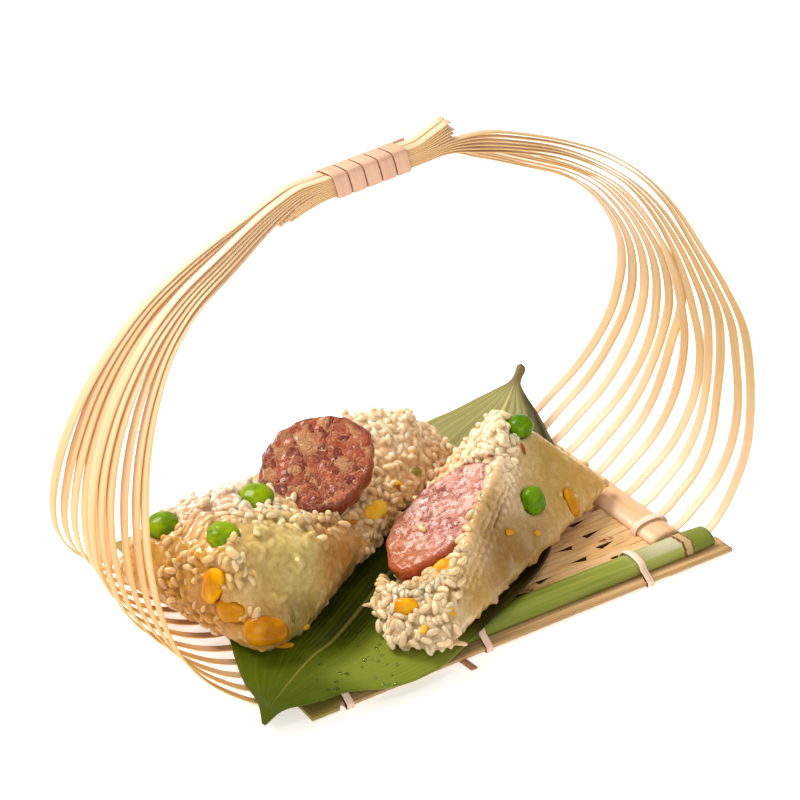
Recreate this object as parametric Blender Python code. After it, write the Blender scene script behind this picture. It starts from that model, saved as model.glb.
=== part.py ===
"""Corn and pea zongzi, two of them torn open on a leaf, with their bamboo basket.

X runs along the tray, Y from front to back and Z up. The basket stands on z = 0.
The figures below are in millimetres; each mesh is written in metres.
"""

import bmesh
import bpy
import numpy as np
from mathutils import Matrix, Vector

MM = 0.001
GAP = 0.3                     # left between pieces that touch

# Handle: twelve strips, each a loop from the bundle down one side, under the mat, and up again.
STRIPS = 12
STRIP_PITCH = 7.4             # along Y, between the feet
STRIP_W = 4.2
STRIP_W_TOP = 2.4
STRIP_T = 0.5
STRIP_T_TOP = 0.4
FOOT_X = 66.0
CLEAR = 0.15                  # between strips that lie over each other
ROW_PITCH = 0.5               # between strips stacked in the bundle
COLUMN_Y = 1.35
BUNDLE_X, BUNDLE_Z, BUNDLE_SLOPE = -19.1, 128.1, 0.10
BUNDLE_HALF = 14.8            # half the length that the wrap covers
ARC_COUNT = 72                # points along one side of a strip, from foot to bundle
ARC_Z = (4, 14, 28, 46, 66, 86, 104, 118)
ARC_RIGHT = (72.7, 85.3, 92.9, 94.8, 89.7, 78.7, 62.7, 38.6)
FAN_RIGHT = (1.8, 2.0, 1.3, 0.6, 0.7, 4.0, 9.0, 14.5)
ARC_LEFT = (77.2, 90.3, 98.6, 101.0, 98.6, 91.3, 78.4, 58.4)
BULGE_RIGHT = (1.3, -0.3, 1.5, 3.5, 0.3, -1.4, -0.7, 1.6, -1.8, -3.7, 0.4, -0.8)
BULGE_LEFT = (0.8, -1.7, -1.6, 0.0, 0.4, 0.6, 2.0, 4.5, 2.4, -0.2, -2.0, -1.7)
CLOSE_RIGHT, CLOSE_LEFT = 1.3, 0.85

# Tray
MAT_X, MAT_Y0, MAT_Y1, MAT_Z0, MAT_Z1 = 66.0, -39.3, 46.7, 0.8, 2.0
RIM_Z = MAT_Z1 + GAP
SLIT_X, SLIT_Y, SLIT_LONG, SLIT_WIDE = 47.4, -11.6, 6.4, 0.9
SLIT_COLUMNS, SLIT_PITCH_X, SLIT_PITCH_Y, SLIT_SHIFT = 4, 25.8, 6.8, 4.6
RIM_FRONT_Y = (-43.5, -34.5)
RIM_BACK_Y = (42.5, 51.0)
RIM_SIDE_X = (57.5, 68.3)

# Leaf
LEAF_TIP, LEAF_ANGLE, LEAF_LONG, LEAF_T = (-80.5, -45.0), 31.8, 178.0, 0.5
LEAF_U = (0, 4, 10, 18, 28, 39, 52, 66, 80, 94, 108, 122, 134, 144, 152, 159, 165, 170, 173, 176, 178)
LEAF_RIGHT = (0.5, 3.0, 8.5, 14.5, 24.5, 31.5, 35, 37.5, 39.5, 39.5, 37.5, 34, 30.5, 27, 23, 17, 11.5, 5, 2.0,
              1.3, 1.5)
LEAF_LEFT = (0.5, 3.6, 10.5, 17.5, 25, 31.5, 36, 38, 38, 37.5, 36, 33, 28, 24, 20.5, 15, 10, 5, 2.0, 1.3, 1.5)

SMOOTH_UNDER = np.radians(35)  # edges blunter than this are shaded smooth


def collection(name, cutters=False):
    made = bpy.data.collections.new(name)
    bpy.context.scene.collection.children.link(made)
    made.hide_render = cutters
    return made


def material(name, colour, rough=0.5):
    made = bpy.data.materials.new(name)
    made.use_nodes = True
    shader = made.node_tree.nodes["Principled BSDF"]
    shader.inputs["Base Color"].default_value = (*colour, 1)
    shader.inputs["Roughness"].default_value = rough
    return made


def object_from(name, points, faces, colour=None, where=None, rough=0.5):
    """A mesh object from points in mm, with its normals turned outward."""
    mesh = bpy.data.meshes.new(name)
    mesh.from_pydata([tuple(np.asarray(p, float) * MM) for p in points], [], [tuple(f) for f in faces])
    bm = bmesh.new()
    bm.from_mesh(mesh)
    bmesh.ops.recalc_face_normals(bm, faces=bm.faces)
    bm.to_mesh(mesh)
    bm.free()
    obj = bpy.data.objects.new(name, mesh)
    (where or PARTS).objects.link(obj)
    if colour:
        mesh.materials.append(material(name, colour, rough))
    return obj


def loft(name, rings, colour=None, where=None, rough=0.5, triangles=False):
    """A closed solid through rings of equal point count, with a flat cap at each end.

    A sheet is cut into triangles, along the same diagonals on its two faces, or a thin one would cross itself."""
    count = len(rings[0])
    points = [p for ring in rings for p in ring]
    faces = []
    for i in range(len(rings) - 1):
        for j in range(count):
            a, b = i * count + j, i * count + (j + 1) % count
            c, d = b + count, a + count
            if not triangles:
                faces.append((a, b, c, d))
            else:
                faces += [(a, b, c), (a, c, d)] if j < count // 2 else [(a, b, d), (b, c, d)]
    faces += [tuple(range(count))[::-1], tuple(range(len(points) - count, len(points)))]
    return object_from(name, points, faces, colour, where, rough)


def box(name, low, high, colour=None, where=None):
    """A box between two corners in mm."""
    low, high = Vector(low), Vector(high)
    place = Matrix.Translation((low + high) / 2 * MM) @ Matrix.Diagonal((*(high - low) * MM, 1))
    bm = bmesh.new()
    bmesh.ops.create_cube(bm, size=1, matrix=place)
    obj = link_mesh(name, bm, where or PARTS)
    if colour:
        obj.data.materials.append(material(name, colour))
    return obj


def smooth(t):
    t = np.clip(t, 0, 1)
    return t * t * (3 - 2 * t)


# Handle strips

def catmull(stations, steps=10):
    p = np.array(stations, float)
    p = np.vstack([2 * p[0] - p[1], p, 2 * p[-1] - p[-2]])
    out = []
    for i in range(1, len(p) - 2):
        t = np.linspace(0, 1, steps, endpoint=False)[:, None]
        a, b, c, d = p[i - 1], p[i], p[i + 1], p[i + 2]
        out.append(0.5 * (2 * b + (c - a) * t + (2 * a - 5 * b + 4 * c - d) * t ** 2
                          + (3 * b - a - 3 * c + d) * t ** 3))
    return np.vstack(out + [p[-2][None]])


def resample(path, count):
    run = np.r_[0, np.cumsum(np.linalg.norm(np.diff(path, axis=0), axis=1))]
    at = np.linspace(0, run[-1], count)
    return np.stack([np.interp(at, run, path[:, i]) for i in range(3)], 1)


def arm(k, side):
    """Centre line of one side of strip k, from its foot to its free end beyond the bundle."""
    right = side > 0
    along = np.array([1, BUNDLE_SLOPE]) / np.hypot(1, BUNDLE_SLOPE)
    up = np.array([-along[1], along[0]])
    centre = np.array([BUNDLE_X, BUNDLE_Z])
    rank = (k - 1) % 6
    lift = up * (rank - 5.5 if right else 5.5 - rank) * ROW_PITCH
    arc, fan = (ARC_RIGHT, FAN_RIGHT) if right else (ARC_LEFT, (0,) * len(ARC_Z))
    bulge = (BULGE_RIGHT if right else BULGE_LEFT)[k - 1]
    stations = [(side * (FOOT_X - 6), STRIP_T / 2), (side * FOOT_X, STRIP_T / 2)]
    if right and k == STRIPS:
        stations.append((74.8, 1.0))
    for x, spread, z in zip(arc, fan, ARC_Z):
        x += 4 * (right and k == STRIPS and z == ARC_Z[0])
        stations.append((side * (x + (k - 6.5) / 5.5 * spread + bulge * np.sin(np.pi * z / 128)), z))
    enter = centre + along * side * BUNDLE_HALF + lift
    leave = centre - along * side * BUNDLE_HALF + lift
    if right:
        stations.append(enter + along * 25 + up * (0.68 * k - 10.4))
    stations.append(enter + side * along * 10 + up * (0.16 * k - 1.5 if right else -0.9))
    entry = len(stations)
    free = []
    row = abs(rank - 5.5)
    longest = 9 + 1.6 * ((k * 3) % 4) if right else 11.4 - 0.4 * row + 0.8 * ((k * 5) % 3 - 1)
    for reach in (0, 4, 7.5, longest):
        bow = -0.12 * reach - 0.01 * reach ** 2 if right else (0.09 + 0.042 * row) * reach
        free.append(leave - side * along * reach + up * bow)
    flat = catmull(stations + [enter, leave])[:10 * entry + 1]
    flat = np.vstack([flat, free])
    flat[:, 1] = np.maximum(flat[:, 1], STRIP_T / 2)
    column = COLUMN_Y if k <= 6 else -COLUMN_Y
    foot = STRIP_PITCH * (7 - k)
    rise = np.clip(flat[:, 1] / 127, 0, 1) ** (CLOSE_RIGHT if right else CLOSE_LEFT)
    rise[10 * entry:] = 1
    path = np.stack([flat[:, 0], column + (foot - column) * (1 - rise), flat[:, 1]], 1)
    return np.vstack([resample(path[10:10 * entry + 1], ARC_COUNT), path[10 * entry + 1:]])


def frame_of(path):
    t = np.gradient(path, axis=0)
    t /= np.linalg.norm(t, axis=1)[:, None]
    w = np.array([0, 1.0, 0]) - t * t[:, 1:2]
    w /= np.linalg.norm(w, axis=1)[:, None]
    return t, w, np.cross(w, t)


def thickness(z):
    return STRIP_T + (STRIP_T_TOP - STRIP_T) * smooth((z - 55) / 60)


def settle(arms, order, rounds=160):
    """Moves strips of one column apart in their order (1 for outward) until each lies clear of the next."""
    for _ in range(rounds):
        push = [np.zeros_like(p) for p in arms]
        for a in range(len(arms)):
            _, w, n = frame_of(arms[a])
            out = order * np.sign(((arms[a] - (0, 0, 60)) * n * (1, 0, 1)).sum(1))
            for b in range(a + 1, len(arms)):
                d = arms[b][None] - arms[a][:, None]
                far = np.linalg.norm(d, axis=2)
                j = np.argmin(far, axis=1)
                d = d[np.arange(len(j)), j]
                beside = smooth((STRIP_W + 1.1 - abs((d * w).sum(1))) / 0.6) * smooth((arms[a][:, 2] - 20) / 12)
                clear = (thickness(arms[a][:, 2]) + CLEAR) * (b - a)
                lack = np.clip(clear - (d * n).sum(1) * out, 0, 1.5) * beside * (far.min(axis=1) < 8)
                move = (0.22 * lack * out)[:, None] * n
                push[a] -= move
                np.add.at(push[b], j, 2 * move)
        for p, q in zip(arms, push):
            q[:3] = 0
            q[ARC_COUNT - 2:] = 0
            for _ in range(14):
                q[1:-1] = (q[:-2] + 2 * q[1:-1] + q[2:]) / 4
            q[0] = 0
            q[ARC_COUNT - 1:] = 0
            p += q


def picks_of(path):
    """Where a strip gets its sections: at each few degrees of bend, and not too far apart."""
    t, _, _ = frame_of(path)
    run = np.r_[0, np.cumsum(np.linalg.norm(np.diff(path, axis=0), axis=1))]
    picks, last = [0], t[0]
    for i in range(1, ARC_COUNT - 3):
        bend = np.degrees(np.arccos(np.clip(t[i] @ last, -1, 1)))
        if bend > 9.5 or (bend > 3 and run[i] - run[picks[-1]] > 14):
            picks.append(i)
            last = t[i]
    return picks + list(range(ARC_COUNT - 1, ARC_COUNT + 4))


def strip(k, right, left, right_picks, left_picks):
    path = np.vstack([right[::-1], left])
    _, w, n = frame_of(path)
    rings = []
    for i in [len(right) - 1 - i for i in right_picks[::-1]] + [len(right) + i for i in left_picks]:
        top = smooth((path[i][2] - 55) / 60)
        wide = (STRIP_W + (STRIP_W_TOP - STRIP_W) * top) / 2 * w[i]
        thick = thickness(path[i][2]) / 2 * n[i]
        rings.append([path[i] - wide - thick, path[i] + wide - thick,
                      path[i] + wide + thick, path[i] - wide + thick])
    return loft(f"strip_{k:02d}", rings, (0.85, 0.66, 0.42))


def build_handle():
    arms, picks = {}, {}
    for side in (1, -1):
        for first in (1, 7):
            group = [arm(k, side) for k in range(first, first + 6)]
            settle(group, side)
            for k, path in zip(range(first, first + 6), group):
                arms[side, k] = path
                picks[side, k] = picks_of(np.mean(group, axis=0))
    for k in range(1, STRIPS + 1):
        strip(k, arms[1, k], arms[-1, k], picks[1, k], picks[-1, k])


def build_wrap():
    """One band wound five and a half turns round the bundle."""
    along = Vector((1, 0, BUNDLE_SLOPE)).normalized()
    up = Vector((-along.z, 0, along.x))
    turns, per_turn, pitch = 5.15, 12, 4.6
    wide, thick, half_y, half_n = 4.2, 0.4, 3.1, 3.4
    start = Vector((BUNDLE_X, 0, BUNDLE_Z)) - along * (turns * pitch / 2)
    rings = []
    for i in range(int(turns * per_turn) + 1):
        a = 2 * np.pi * (i + 0.5) / per_turn
        c, s = np.cos(a), np.sin(a)
        grow = (abs(c) ** 6 + abs(s) ** 6) ** (-1 / 6)
        out = Vector((0, c * half_y, 0)) + up * (s * half_n)
        at = start + along * (pitch * i / per_turn)
        ring = []
        for side, layer in ((-1, 0), (1, 0), (1, 1), (-1, 1)):
            size = grow + layer * thick / out.length * grow ** 0.5
            ring.append(at + along * (side * wide / 2) + out * size)
        rings.append(ring)
    loft("wrap", rings, (0.86, 0.66, 0.56))


# Tray

def build_mat():
    """A woven mat as one plate, with the slits where its strands part."""
    plate = box("mat", (-MAT_X, MAT_Y0, MAT_Z0), (MAT_X, MAT_Y1, MAT_Z1), (0.8, 0.6, 0.33))
    slits = bpy.data.collections.new("slits")
    CUTTERS.children.link(slits)
    for column in range(SLIT_COLUMNS):
        x = SLIT_X - column * SLIT_PITCH_X
        lowest = MAT_Y0 + 3 + (SLIT_Y - column * SLIT_SHIFT - MAT_Y0 - 3) % SLIT_PITCH_Y
        for y in np.arange(lowest, MAT_Y1 - 3, SLIT_PITCH_Y):
            box("slit", (x - SLIT_LONG / 2, y - SLIT_WIDE / 2, MAT_Z0 - 1),
                (x + SLIT_LONG / 2, y + SLIT_WIDE / 2, MAT_Z1 + 1), where=slits)
    boolean(plate, slits, "DIFFERENCE", "EXACT")


def half_round(low, high, base, height, count=7):
    """Section of a split cane: flat below, arched above, as (across, z)."""
    mid, half = (low + high) / 2, (high - low) / 2
    arch = [(mid - half * np.cos(a), base + 0.5 + (height - 0.5) * np.sin(a) ** 0.9)
            for a in np.linspace(0, np.pi, count)]
    return [(low, base)] + arch + [(high, base)]


def build_rims():
    front = half_round(*RIM_FRONT_Y, RIM_Z, 3.4)
    stations = ((-62, 0.96), (-30, 1.0), (20, 1.0), (58, 1.0), (61, 1.07), (63, 1.0), (66.5, 1.06), (68, 0.98),
                (73.5, 0.9))
    mid = sum(RIM_FRONT_Y) / 2
    loft("rim_front", [[(x, mid + (y - mid) * s, RIM_Z + (z - RIM_Z) * s) for y, z in front]
                       for x, s in stations], (0.36, 0.46, 0.12))
    back = half_round(*RIM_BACK_Y, RIM_Z, 3.4)
    loft("rim_back", [[(x, y, z) for y, z in back] for x in (-70, 66)], (0.4, 0.45, 0.14))
    for name, side in (("rim_right", 1), ("rim_left", -1)):
        section = half_round(*RIM_SIDE_X, RIM_Z, 2.9)
        ends = (RIM_FRONT_Y[1] + GAP, RIM_BACK_Y[0] - GAP)
        loft(name, [[(side * x, y, z) for x, z in section] for y in ends], (0.82, 0.6, 0.34))
    for name, y0, y1, x0, x1 in (("slat_front", -47.0, MAT_Y0 - GAP, -67.0, 77.0),
                                 ("slat_back", MAT_Y1 + GAP, 54.4, -72.0, 70.0)):
        box(name, (x0, y0, MAT_Z0), (x1, y1, MAT_Z1 - 0.1), (0.76, 0.55, 0.3))


def band(name, path, across, wide=2.2, thick=0.5, colour=(0.86, 0.64, 0.54)):
    """A flat tie along a path of (a, z), where across says how (a, z, offset) becomes (x, y, z)."""
    p = np.array(path, float)
    rings = []
    for i in range(len(p)):
        t = p[min(i + 1, len(p) - 1)] - p[max(i - 1, 0)]
        n = np.array([t[1], -t[0]]) / np.hypot(*t)
        o = p[i] + n * thick
        rings.append([across(*p[i], -wide / 2), across(*p[i], wide / 2),
                      across(*o, wide / 2), across(*o, -wide / 2)])
    loft(name, rings, colour)


def tie_path(rim, height, outer, end):
    """From the mat, over a rim, down the tray's outer edge and a little way under it."""
    low, high = rim
    mid, half = (low + high) / 2, (high - low) / 2 + GAP
    a = np.linspace(0.12, np.pi - 0.15, 9)
    arch = [(mid + half * np.cos(t), RIM_Z + 0.9 + (height + GAP - 0.7) * np.sin(t) ** 0.8) for t in a]
    path = [(high + GAP, MAT_Z1 + GAP)] + arch
    return path + [(outer - GAP, 1.75), (outer - GAP, 0.55), (end, 0.55)]


def build_ties():
    for i, x in enumerate((-55.5, -10.4, 46.1)):
        path = tie_path(RIM_FRONT_Y, 3.4, -47.0, -41.5)
        band(f"tie_front_{i + 1}", path, lambda a, z, o, x=x: (x + o, a, z))
    mirrored = (-RIM_BACK_Y[1], -RIM_BACK_Y[0])
    for i, x in enumerate((-52.0, -4.0, 44.0)):
        path = tie_path(mirrored, 3.4, -54.4, -49.5)
        band(f"tie_back_{i + 1}", path, lambda a, z, o, x=x: (x + o, -a, z))
    side = (-RIM_SIDE_X[1], -RIM_SIDE_X[0])
    for name, sign, y in (("tie_right", -1, -25.9), ("tie_left", 1, -11.1)):
        path = tie_path(side, 2.9, -68.6, -60.0)
        band(name, path, lambda a, z, o, y=y, sign=sign: (sign * a, y + o, z))
    tail = [(-44.5, 0.1), (-47.5, 0.15), (-51.5, 0.2)]
    band("tie_tail", tail, lambda a, z, o: (-19.0 + o - 0.1 * (a + 44.5), a, z), 2.2, 0.5, (0.42, 0.24, 0.14))


# Leaf

def leaf_height(x, y):
    """Underside of the leaf: on the mat, over the rims, and curling up towards its stem."""
    front = 4.1 * smooth((-22 - y) / 13) - 0.32 * np.maximum(-44.5 - y, 0)
    left = 3.6 * smooth((-44 - x) / 12)
    right = 3.6 * smooth((x - 42) / 12)
    back = 4.0 * smooth((y - 30) / 11)
    lift = (np.abs(front) ** 6 + left ** 6 + right ** 6 + back ** 6) ** (1 / 6)
    lift = np.where(front < 0, front, lift)
    a = np.radians(LEAF_ANGLE)
    u = (x - LEAF_TIP[0]) * np.cos(a) + (y - LEAF_TIP[1]) * np.sin(a)
    v = -(x - LEAF_TIP[0]) * np.sin(a) + (y - LEAF_TIP[1]) * np.cos(a)
    curl = 0.0082 * np.maximum(u - 142, 0) ** 2
    tip = 3.4 * smooth((5.5 - u) / 7)
    wave = 0.5 * np.sin(u / 9.0) * smooth((abs(v) - 16) / 18) * smooth((140 - u) / 30)
    return MAT_Z1 + GAP + 0.5 + lift + curl - tip + 0.5 * np.abs(wave) + 0.25 * smooth((2 - abs(v)) / 2)


def leaf_point(u, v):
    a = np.radians(LEAF_ANGLE)
    return (LEAF_TIP[0] + u * np.cos(a) - v * np.sin(a), LEAF_TIP[1] + u * np.sin(a) + v * np.cos(a))


def build_leaf():
    across = np.array([-1, -0.8, -0.5, -0.06, 0.06, 0.5, 0.8, 1])
    rings = []
    for u, right, left in zip(LEAF_U, LEAF_RIGHT, LEAF_LEFT):
        stem = smooth((u - 166) / 8)
        thick = LEAF_T + 1.1 * stem + 0.9 * smooth((u - 175) / 3)
        under, over = [], []
        for f in across:
            v = f * (left if f > 0 else right)
            x, y = leaf_point(u, v)
            z = float(leaf_height(x, y))
            under.append((x, y, z))
            over.append((x, y, z + thick * (1 - 0.35 * abs(f) * stem)))
        rings.append(under + over[::-1])
    return loft("leaf", rings, (0.17, 0.27, 0.03), triangles=True)


# Food

# Cores of the torn rice bodies, each group the skin round its balls, as (x, y, z, radius).
LEFT_CORE = (
    ((-79.5, 22, 14, 6), (-76, 21, 20, 6), (-64, -17, 11, 7), (-55, -16, 10.5, 6), (-66, -6, 27, 7),
     (-45, -6, 23, 5.5), (-26, 0, 16, 4.5), (-26, 2, 9.5, 5), (-64, 17, 27, 6.5), (-49, 16, 28.2, 6.5),
     (-60, 34, 10, 6), (-36, 36, 10, 6)),
    ((-49, 14, 20, 8), (-24, 0, 13, 5), (-22, 27, 20, 9), (4, 35, 18, 8), (-2, 16, 11, 5), (-45, 36, 10, 6),
     (-20, 42, 9, 6)),
    ((4, 35, 22.3, 8), (14, 33, 20.5, 7.5), (25, 27, 11, 6), (15, 26, 11, 6), (-2, 16, 13, 5), (10, 42, 10, 6),
     (-14, 40, 10, 6)),
)
RIGHT_CORE = (
    ((57.5, -7.5, 9.4, 3.0), (31, 6, 31.5, 4.8), (-27, -46, 10.5, 3.8), (-34, -38, 9.5, 4),
     (-28, -25, 11, 5), (-2, -19.5, 24, 4.5), (10, 7, 11, 6), (34, 13, 11, 6), (47, 7, 9, 4.5), (34, -13, 7, 3.5),
     (-11, -36, 8.5, 3.5)),
)

# Slices of sausage: centre, the way the cut face looks, long way, half sizes, thickness.
SAUSAGE_LEFT = ((-26.7, 15.4, 32.0), (-0.306, -0.451, 0.839), (0.948, -0.061, 0.313), (16.8, 14.6), 7.0)
SAUSAGE_RIGHT = ((-1.8, -13.1, 20.5), (-0.438, 0.044, 0.898), (0.892, 0.151, 0.427), (21.5, 12.5), 8.0)

TEAR_WAY = (-0.485, -0.715, 0.503)

# Peas: centre and radius. Kernels: centre, the way the broad side looks, long way, length and width.
PEAS = (
    ((-73.6, 19.1, 28.0), 4.5, "left"), ((-48.5, 11.2, 32.6), 4.7, "left"), ((-66.2, -1.1, 33.4), 4.3, "left"),
    ((34.8, 1.7, 33.0), 3.9, "right"), ((26.4, -17.4, 20.4), 4.0, "right"),
)
KERNELS = (
    ((-73.4, -7.6, 23.0), (-0.92, -0.37, 0.14), (-0.24, 0.18, -0.95), 11.6, 6.4, "left"),
    ((-66.2, -23.2, 14.9), (-0.37, -0.79, 0.48), (0.83, -0.56, 0.0), 12.0, 8.0, "left"),
    ((-71.5, -13.0, 17.0), (-0.9, -0.39, 0.15), (0.5, -0.6, 0.1), 9.5, 6.5, "left"),
    ((-24.3, 5.2, 20.0), (0.06, -0.3, 0.95), (0.83, -0.56, 0.05), 8.5, 5.0, "left"),
    ((-12.3, 6.7, 17.0), (0.0, -0.8, 0.6), (0.8, -0.3, 0.5), 8.6, 6.4, "left"),
    ((-15.1, -30.5, 17.9), (-0.6, -0.5, 0.6), (0.3, -0.1, 0.9), 9.5, 6.4, "right"),
    ((-29.6, -35.0, 15.6), (-0.5, -0.6, 0.6), (0.6, -0.6, 0.3), 6.5, 5.0, "right"),
    ((42.0, -15.0, 12.7), (0.37, -0.77, 0.53), (0.1, 0.2, 0.97), 9.0, 4.6, "right"),
)


def matrix_of(at, out, long_way):
    """Placement in metres, its Z along out and its X as near long_way as it can be."""
    z = Vector(out).normalized()
    x = Vector(long_way)
    x = (x - z * x.dot(z)).normalized()
    turn = Matrix((x, z.cross(x), z)).transposed().to_4x4()
    return Matrix.Translation(Vector(at) * MM) @ turn


def link_mesh(name, bm, where):
    bmesh.ops.recalc_face_normals(bm, faces=bm.faces)
    mesh = bpy.data.meshes.new(name)
    bm.to_mesh(mesh)
    bm.free()
    obj = bpy.data.objects.new(name, mesh)
    where.objects.link(obj)
    return obj


def hull(name, balls, where, detail=2, grow=0.0, place=Matrix()):
    """The convex skin round a set of balls, each (x, y, z, radius)."""
    bm = bmesh.new()
    for x, y, z, r in balls:
        at = Matrix.Translation(Vector((x, y, z)) * MM)
        bmesh.ops.create_icosphere(bm, subdivisions=detail, radius=(r + grow) * MM, matrix=place @ at)
    points = [v.co.copy() for v in bm.verts]
    bm.clear()
    for p in points:
        bm.verts.new(p)
    bmesh.ops.convex_hull(bm, input=bm.verts)
    bmesh.ops.delete(bm, geom=[v for v in bm.verts if not v.link_faces], context="VERTS")
    bmesh.ops.dissolve_limit(bm, angle_limit=np.radians(5), verts=bm.verts, edges=bm.edges)
    bmesh.ops.triangulate(bm, faces=bm.faces)
    return link_mesh(name, bm, where)


def disc(name, centre, out, long_way, half, thick, where, grow=0.0, seed=0):
    """A slice of sausage: a flat disc with a rounded, slightly uneven rim."""
    place = matrix_of(centre, out, long_way)
    wobble = np.random.default_rng(seed).uniform(-1, 1, 4)
    rings = []
    for z, size in ((-thick / 2, 0.9), (-thick / 2 + 1.6, 1.0), (thick / 2 - 1.4, 1.0), (thick / 2, 0.93)):
        ring = []
        for a in np.linspace(0, 2 * np.pi, 22, endpoint=False):
            uneven = 1 + 0.02 * sum(w * np.sin((i + 2) * a + 3 * w) for i, w in enumerate(wobble))
            r = size * uneven
            p = Vector(((half[0] * r + grow) * np.cos(a), (half[1] * r + grow) * np.sin(a),
                        z + np.sign(z) * grow))
            ring.append(tuple(place @ (p * MM) / MM))
        rings.append(ring)
    return loft(name, rings, where=where)


def seeds_on(body, tries, apart, wanted, random):
    """Seeded places on a body's skin, apart from each other, where wanted(point, normal) allows."""
    mesh = body.data
    mesh.calc_loop_triangles()
    corners = [[mesh.vertices[i].co / MM for i in t.vertices] for t in mesh.loop_triangles]
    area = np.array([t.area for t in mesh.loop_triangles])
    kept = []
    for i in random.choice(len(area), tries, p=area / area.sum()):
        a, b = np.sort(random.random(2))
        p = corners[i][0] * a + corners[i][1] * (b - a) + corners[i][2] * (1 - b)
        n = mesh.loop_triangles[i].normal.copy()
        if wanted(p, n) and all((p - q).length > apart for q, _ in kept):
            kept.append((p, n))
    return kept


def grain_on(name, p, n, where, random):
    """One grain of cooked rice lying on the skin at p, a little tilted and half sunk."""
    long_way = Vector(random.normal(size=3))
    lean = Vector(n) * random.uniform(-0.1, 0.45)
    flat = (long_way - Vector(n) * long_way.dot(n)).normalized() + lean
    size = random.uniform(0.9, 1.12)
    place = matrix_of(Vector(p) + Vector(n) * 0.35, flat, n)
    bm = bmesh.new()
    bmesh.ops.create_uvsphere(bm, u_segments=5, v_segments=3, radius=MM,
                              matrix=place @ Matrix.Diagonal((1.2 * size, 1.35 * size, 3.3 * size, 1)))
    return link_mesh(name, bm, where)


def torn_left(p, n):
    if p.z < 6:
        return False
    if p.x > -22 or n.z > 0.55:
        return True
    return n.y > 0.3 and p.z > 12


def torn_right(p, n):
    if p.z < 7:
        return False
    pressed = n.x * 0.5 - n.y * 0.66 + n.z * 0.56
    return pressed < 0.42


def largest_only(obj):
    """Removes the crumbs that a Boolean leaves loose, or joined by a thread."""
    bm = bmesh.new()
    bm.from_mesh(obj.data)
    bmesh.ops.remove_doubles(bm, verts=bm.verts, dist=2e-5)
    bmesh.ops.dissolve_degenerate(bm, edges=bm.edges, dist=2e-5)
    bmesh.ops.triangulate(bm, faces=bm.faces)
    for _ in range(3):
        twins = {}
        for face in bm.faces:
            twins.setdefault(frozenset(v.index for v in face.verts), []).append(face)
        doubled = [f for pair in twins.values() if len(pair) == 2 for f in pair]
        bmesh.ops.delete(bm, geom=doubled, context="FACES_ONLY")
        bmesh.ops.delete(bm, geom=[e for e in bm.edges if not e.link_faces], context="EDGES")
    left, groups = set(bm.faces), []
    while left:
        group, front = [], [left.pop()]
        while front:
            face = front.pop()
            group.append(face)
            for edge in face.edges:
                for other in edge.link_faces if len(edge.link_faces) == 2 else ():
                    if other in left:
                        left.remove(other)
                        front.append(other)
        groups.append(group)
    groups.sort(key=len)
    bmesh.ops.delete(bm, geom=[f for g in groups[:-1] for f in g], context="FACES")
    bmesh.ops.delete(bm, geom=[v for v in bm.verts if not v.link_faces], context="VERTS")
    bm.to_mesh(obj.data)
    bm.free()


def leaf_block(name):
    """All that lies under the leaf's upper face, as a cutter."""
    xs, ys = np.linspace(-105, 80, 15), np.linspace(-60, 60, 11)
    near = [(dx, dy) for dx in (-7, 0, 7) for dy in (-6, 0, 6)]
    points = [(x, y, max(float(leaf_height(x + dx, y + dy)) for dx, dy in near) + LEAF_T + GAP)
              for y in ys for x in xs]
    count = len(points)
    points += [(x, y, -20.0) for x, y, _ in points]
    faces = []
    for j in range(len(ys) - 1):
        for i in range(len(xs) - 1):
            a = j * len(xs) + i
            faces += [(a, a + 1, a + 1 + len(xs)), (a, a + 1 + len(xs), a + len(xs))]
            b = a + count
            faces.append((b, b + len(xs), b + 1 + len(xs), b + 1))
    edge = list(range(len(xs)))
    edge += [j * len(xs) + len(xs) - 1 for j in range(1, len(ys))]
    edge += [(len(ys) - 1) * len(xs) + i for i in range(len(xs) - 2, -1, -1)]
    edge += [j * len(xs) for j in range(len(ys) - 2, 0, -1)]
    for a, b in zip(edge, edge[1:] + edge[:1]):
        faces.append((a, b, b + count, a + count))
    return object_from(name, points, faces, where=CUTTERS)


def kernel(name, centre, out, long_way, length, wide, where, grow=0.0):
    """A kernel of corn, broad and rounded at its crown and narrow at its tip."""
    crown, tip = wide / 2 - 2.1, length / 2
    balls = ((tip - 2.1, -crown, 0, 2.1), (tip - 2.1, crown, 0, 2.1), (-tip + 1.6, 0, 0, 1.6),
             (0.4 - tip / 3, 0, 0, 2.2))
    return hull(name, balls, where, 1, grow, matrix_of(centre, out, long_way))


def tear(piece):
    """The opening torn through the front of the right body, down to its slice of sausage."""
    at, out, long_way, half, thick = piece
    at, out, long_way = Vector(at), Vector(out), Vector(long_way)
    across = out.cross(long_way)
    balls = []
    for a in np.linspace(0, 2 * np.pi, 12, endpoint=False):
        rim = at + long_way * (half[0] * np.cos(a)) + across * (9.0 * np.sin(a) + 3.6)
        for depth in (thick / 2, -thick / 2 * (np.cos(a) < 0.3)):
            for reach in (0, 34):
                balls.append((*(rim + out * depth + Vector(TEAR_WAY) * reach), 0.8))
    return hull("tear", balls, CUTTERS, 1)


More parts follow.
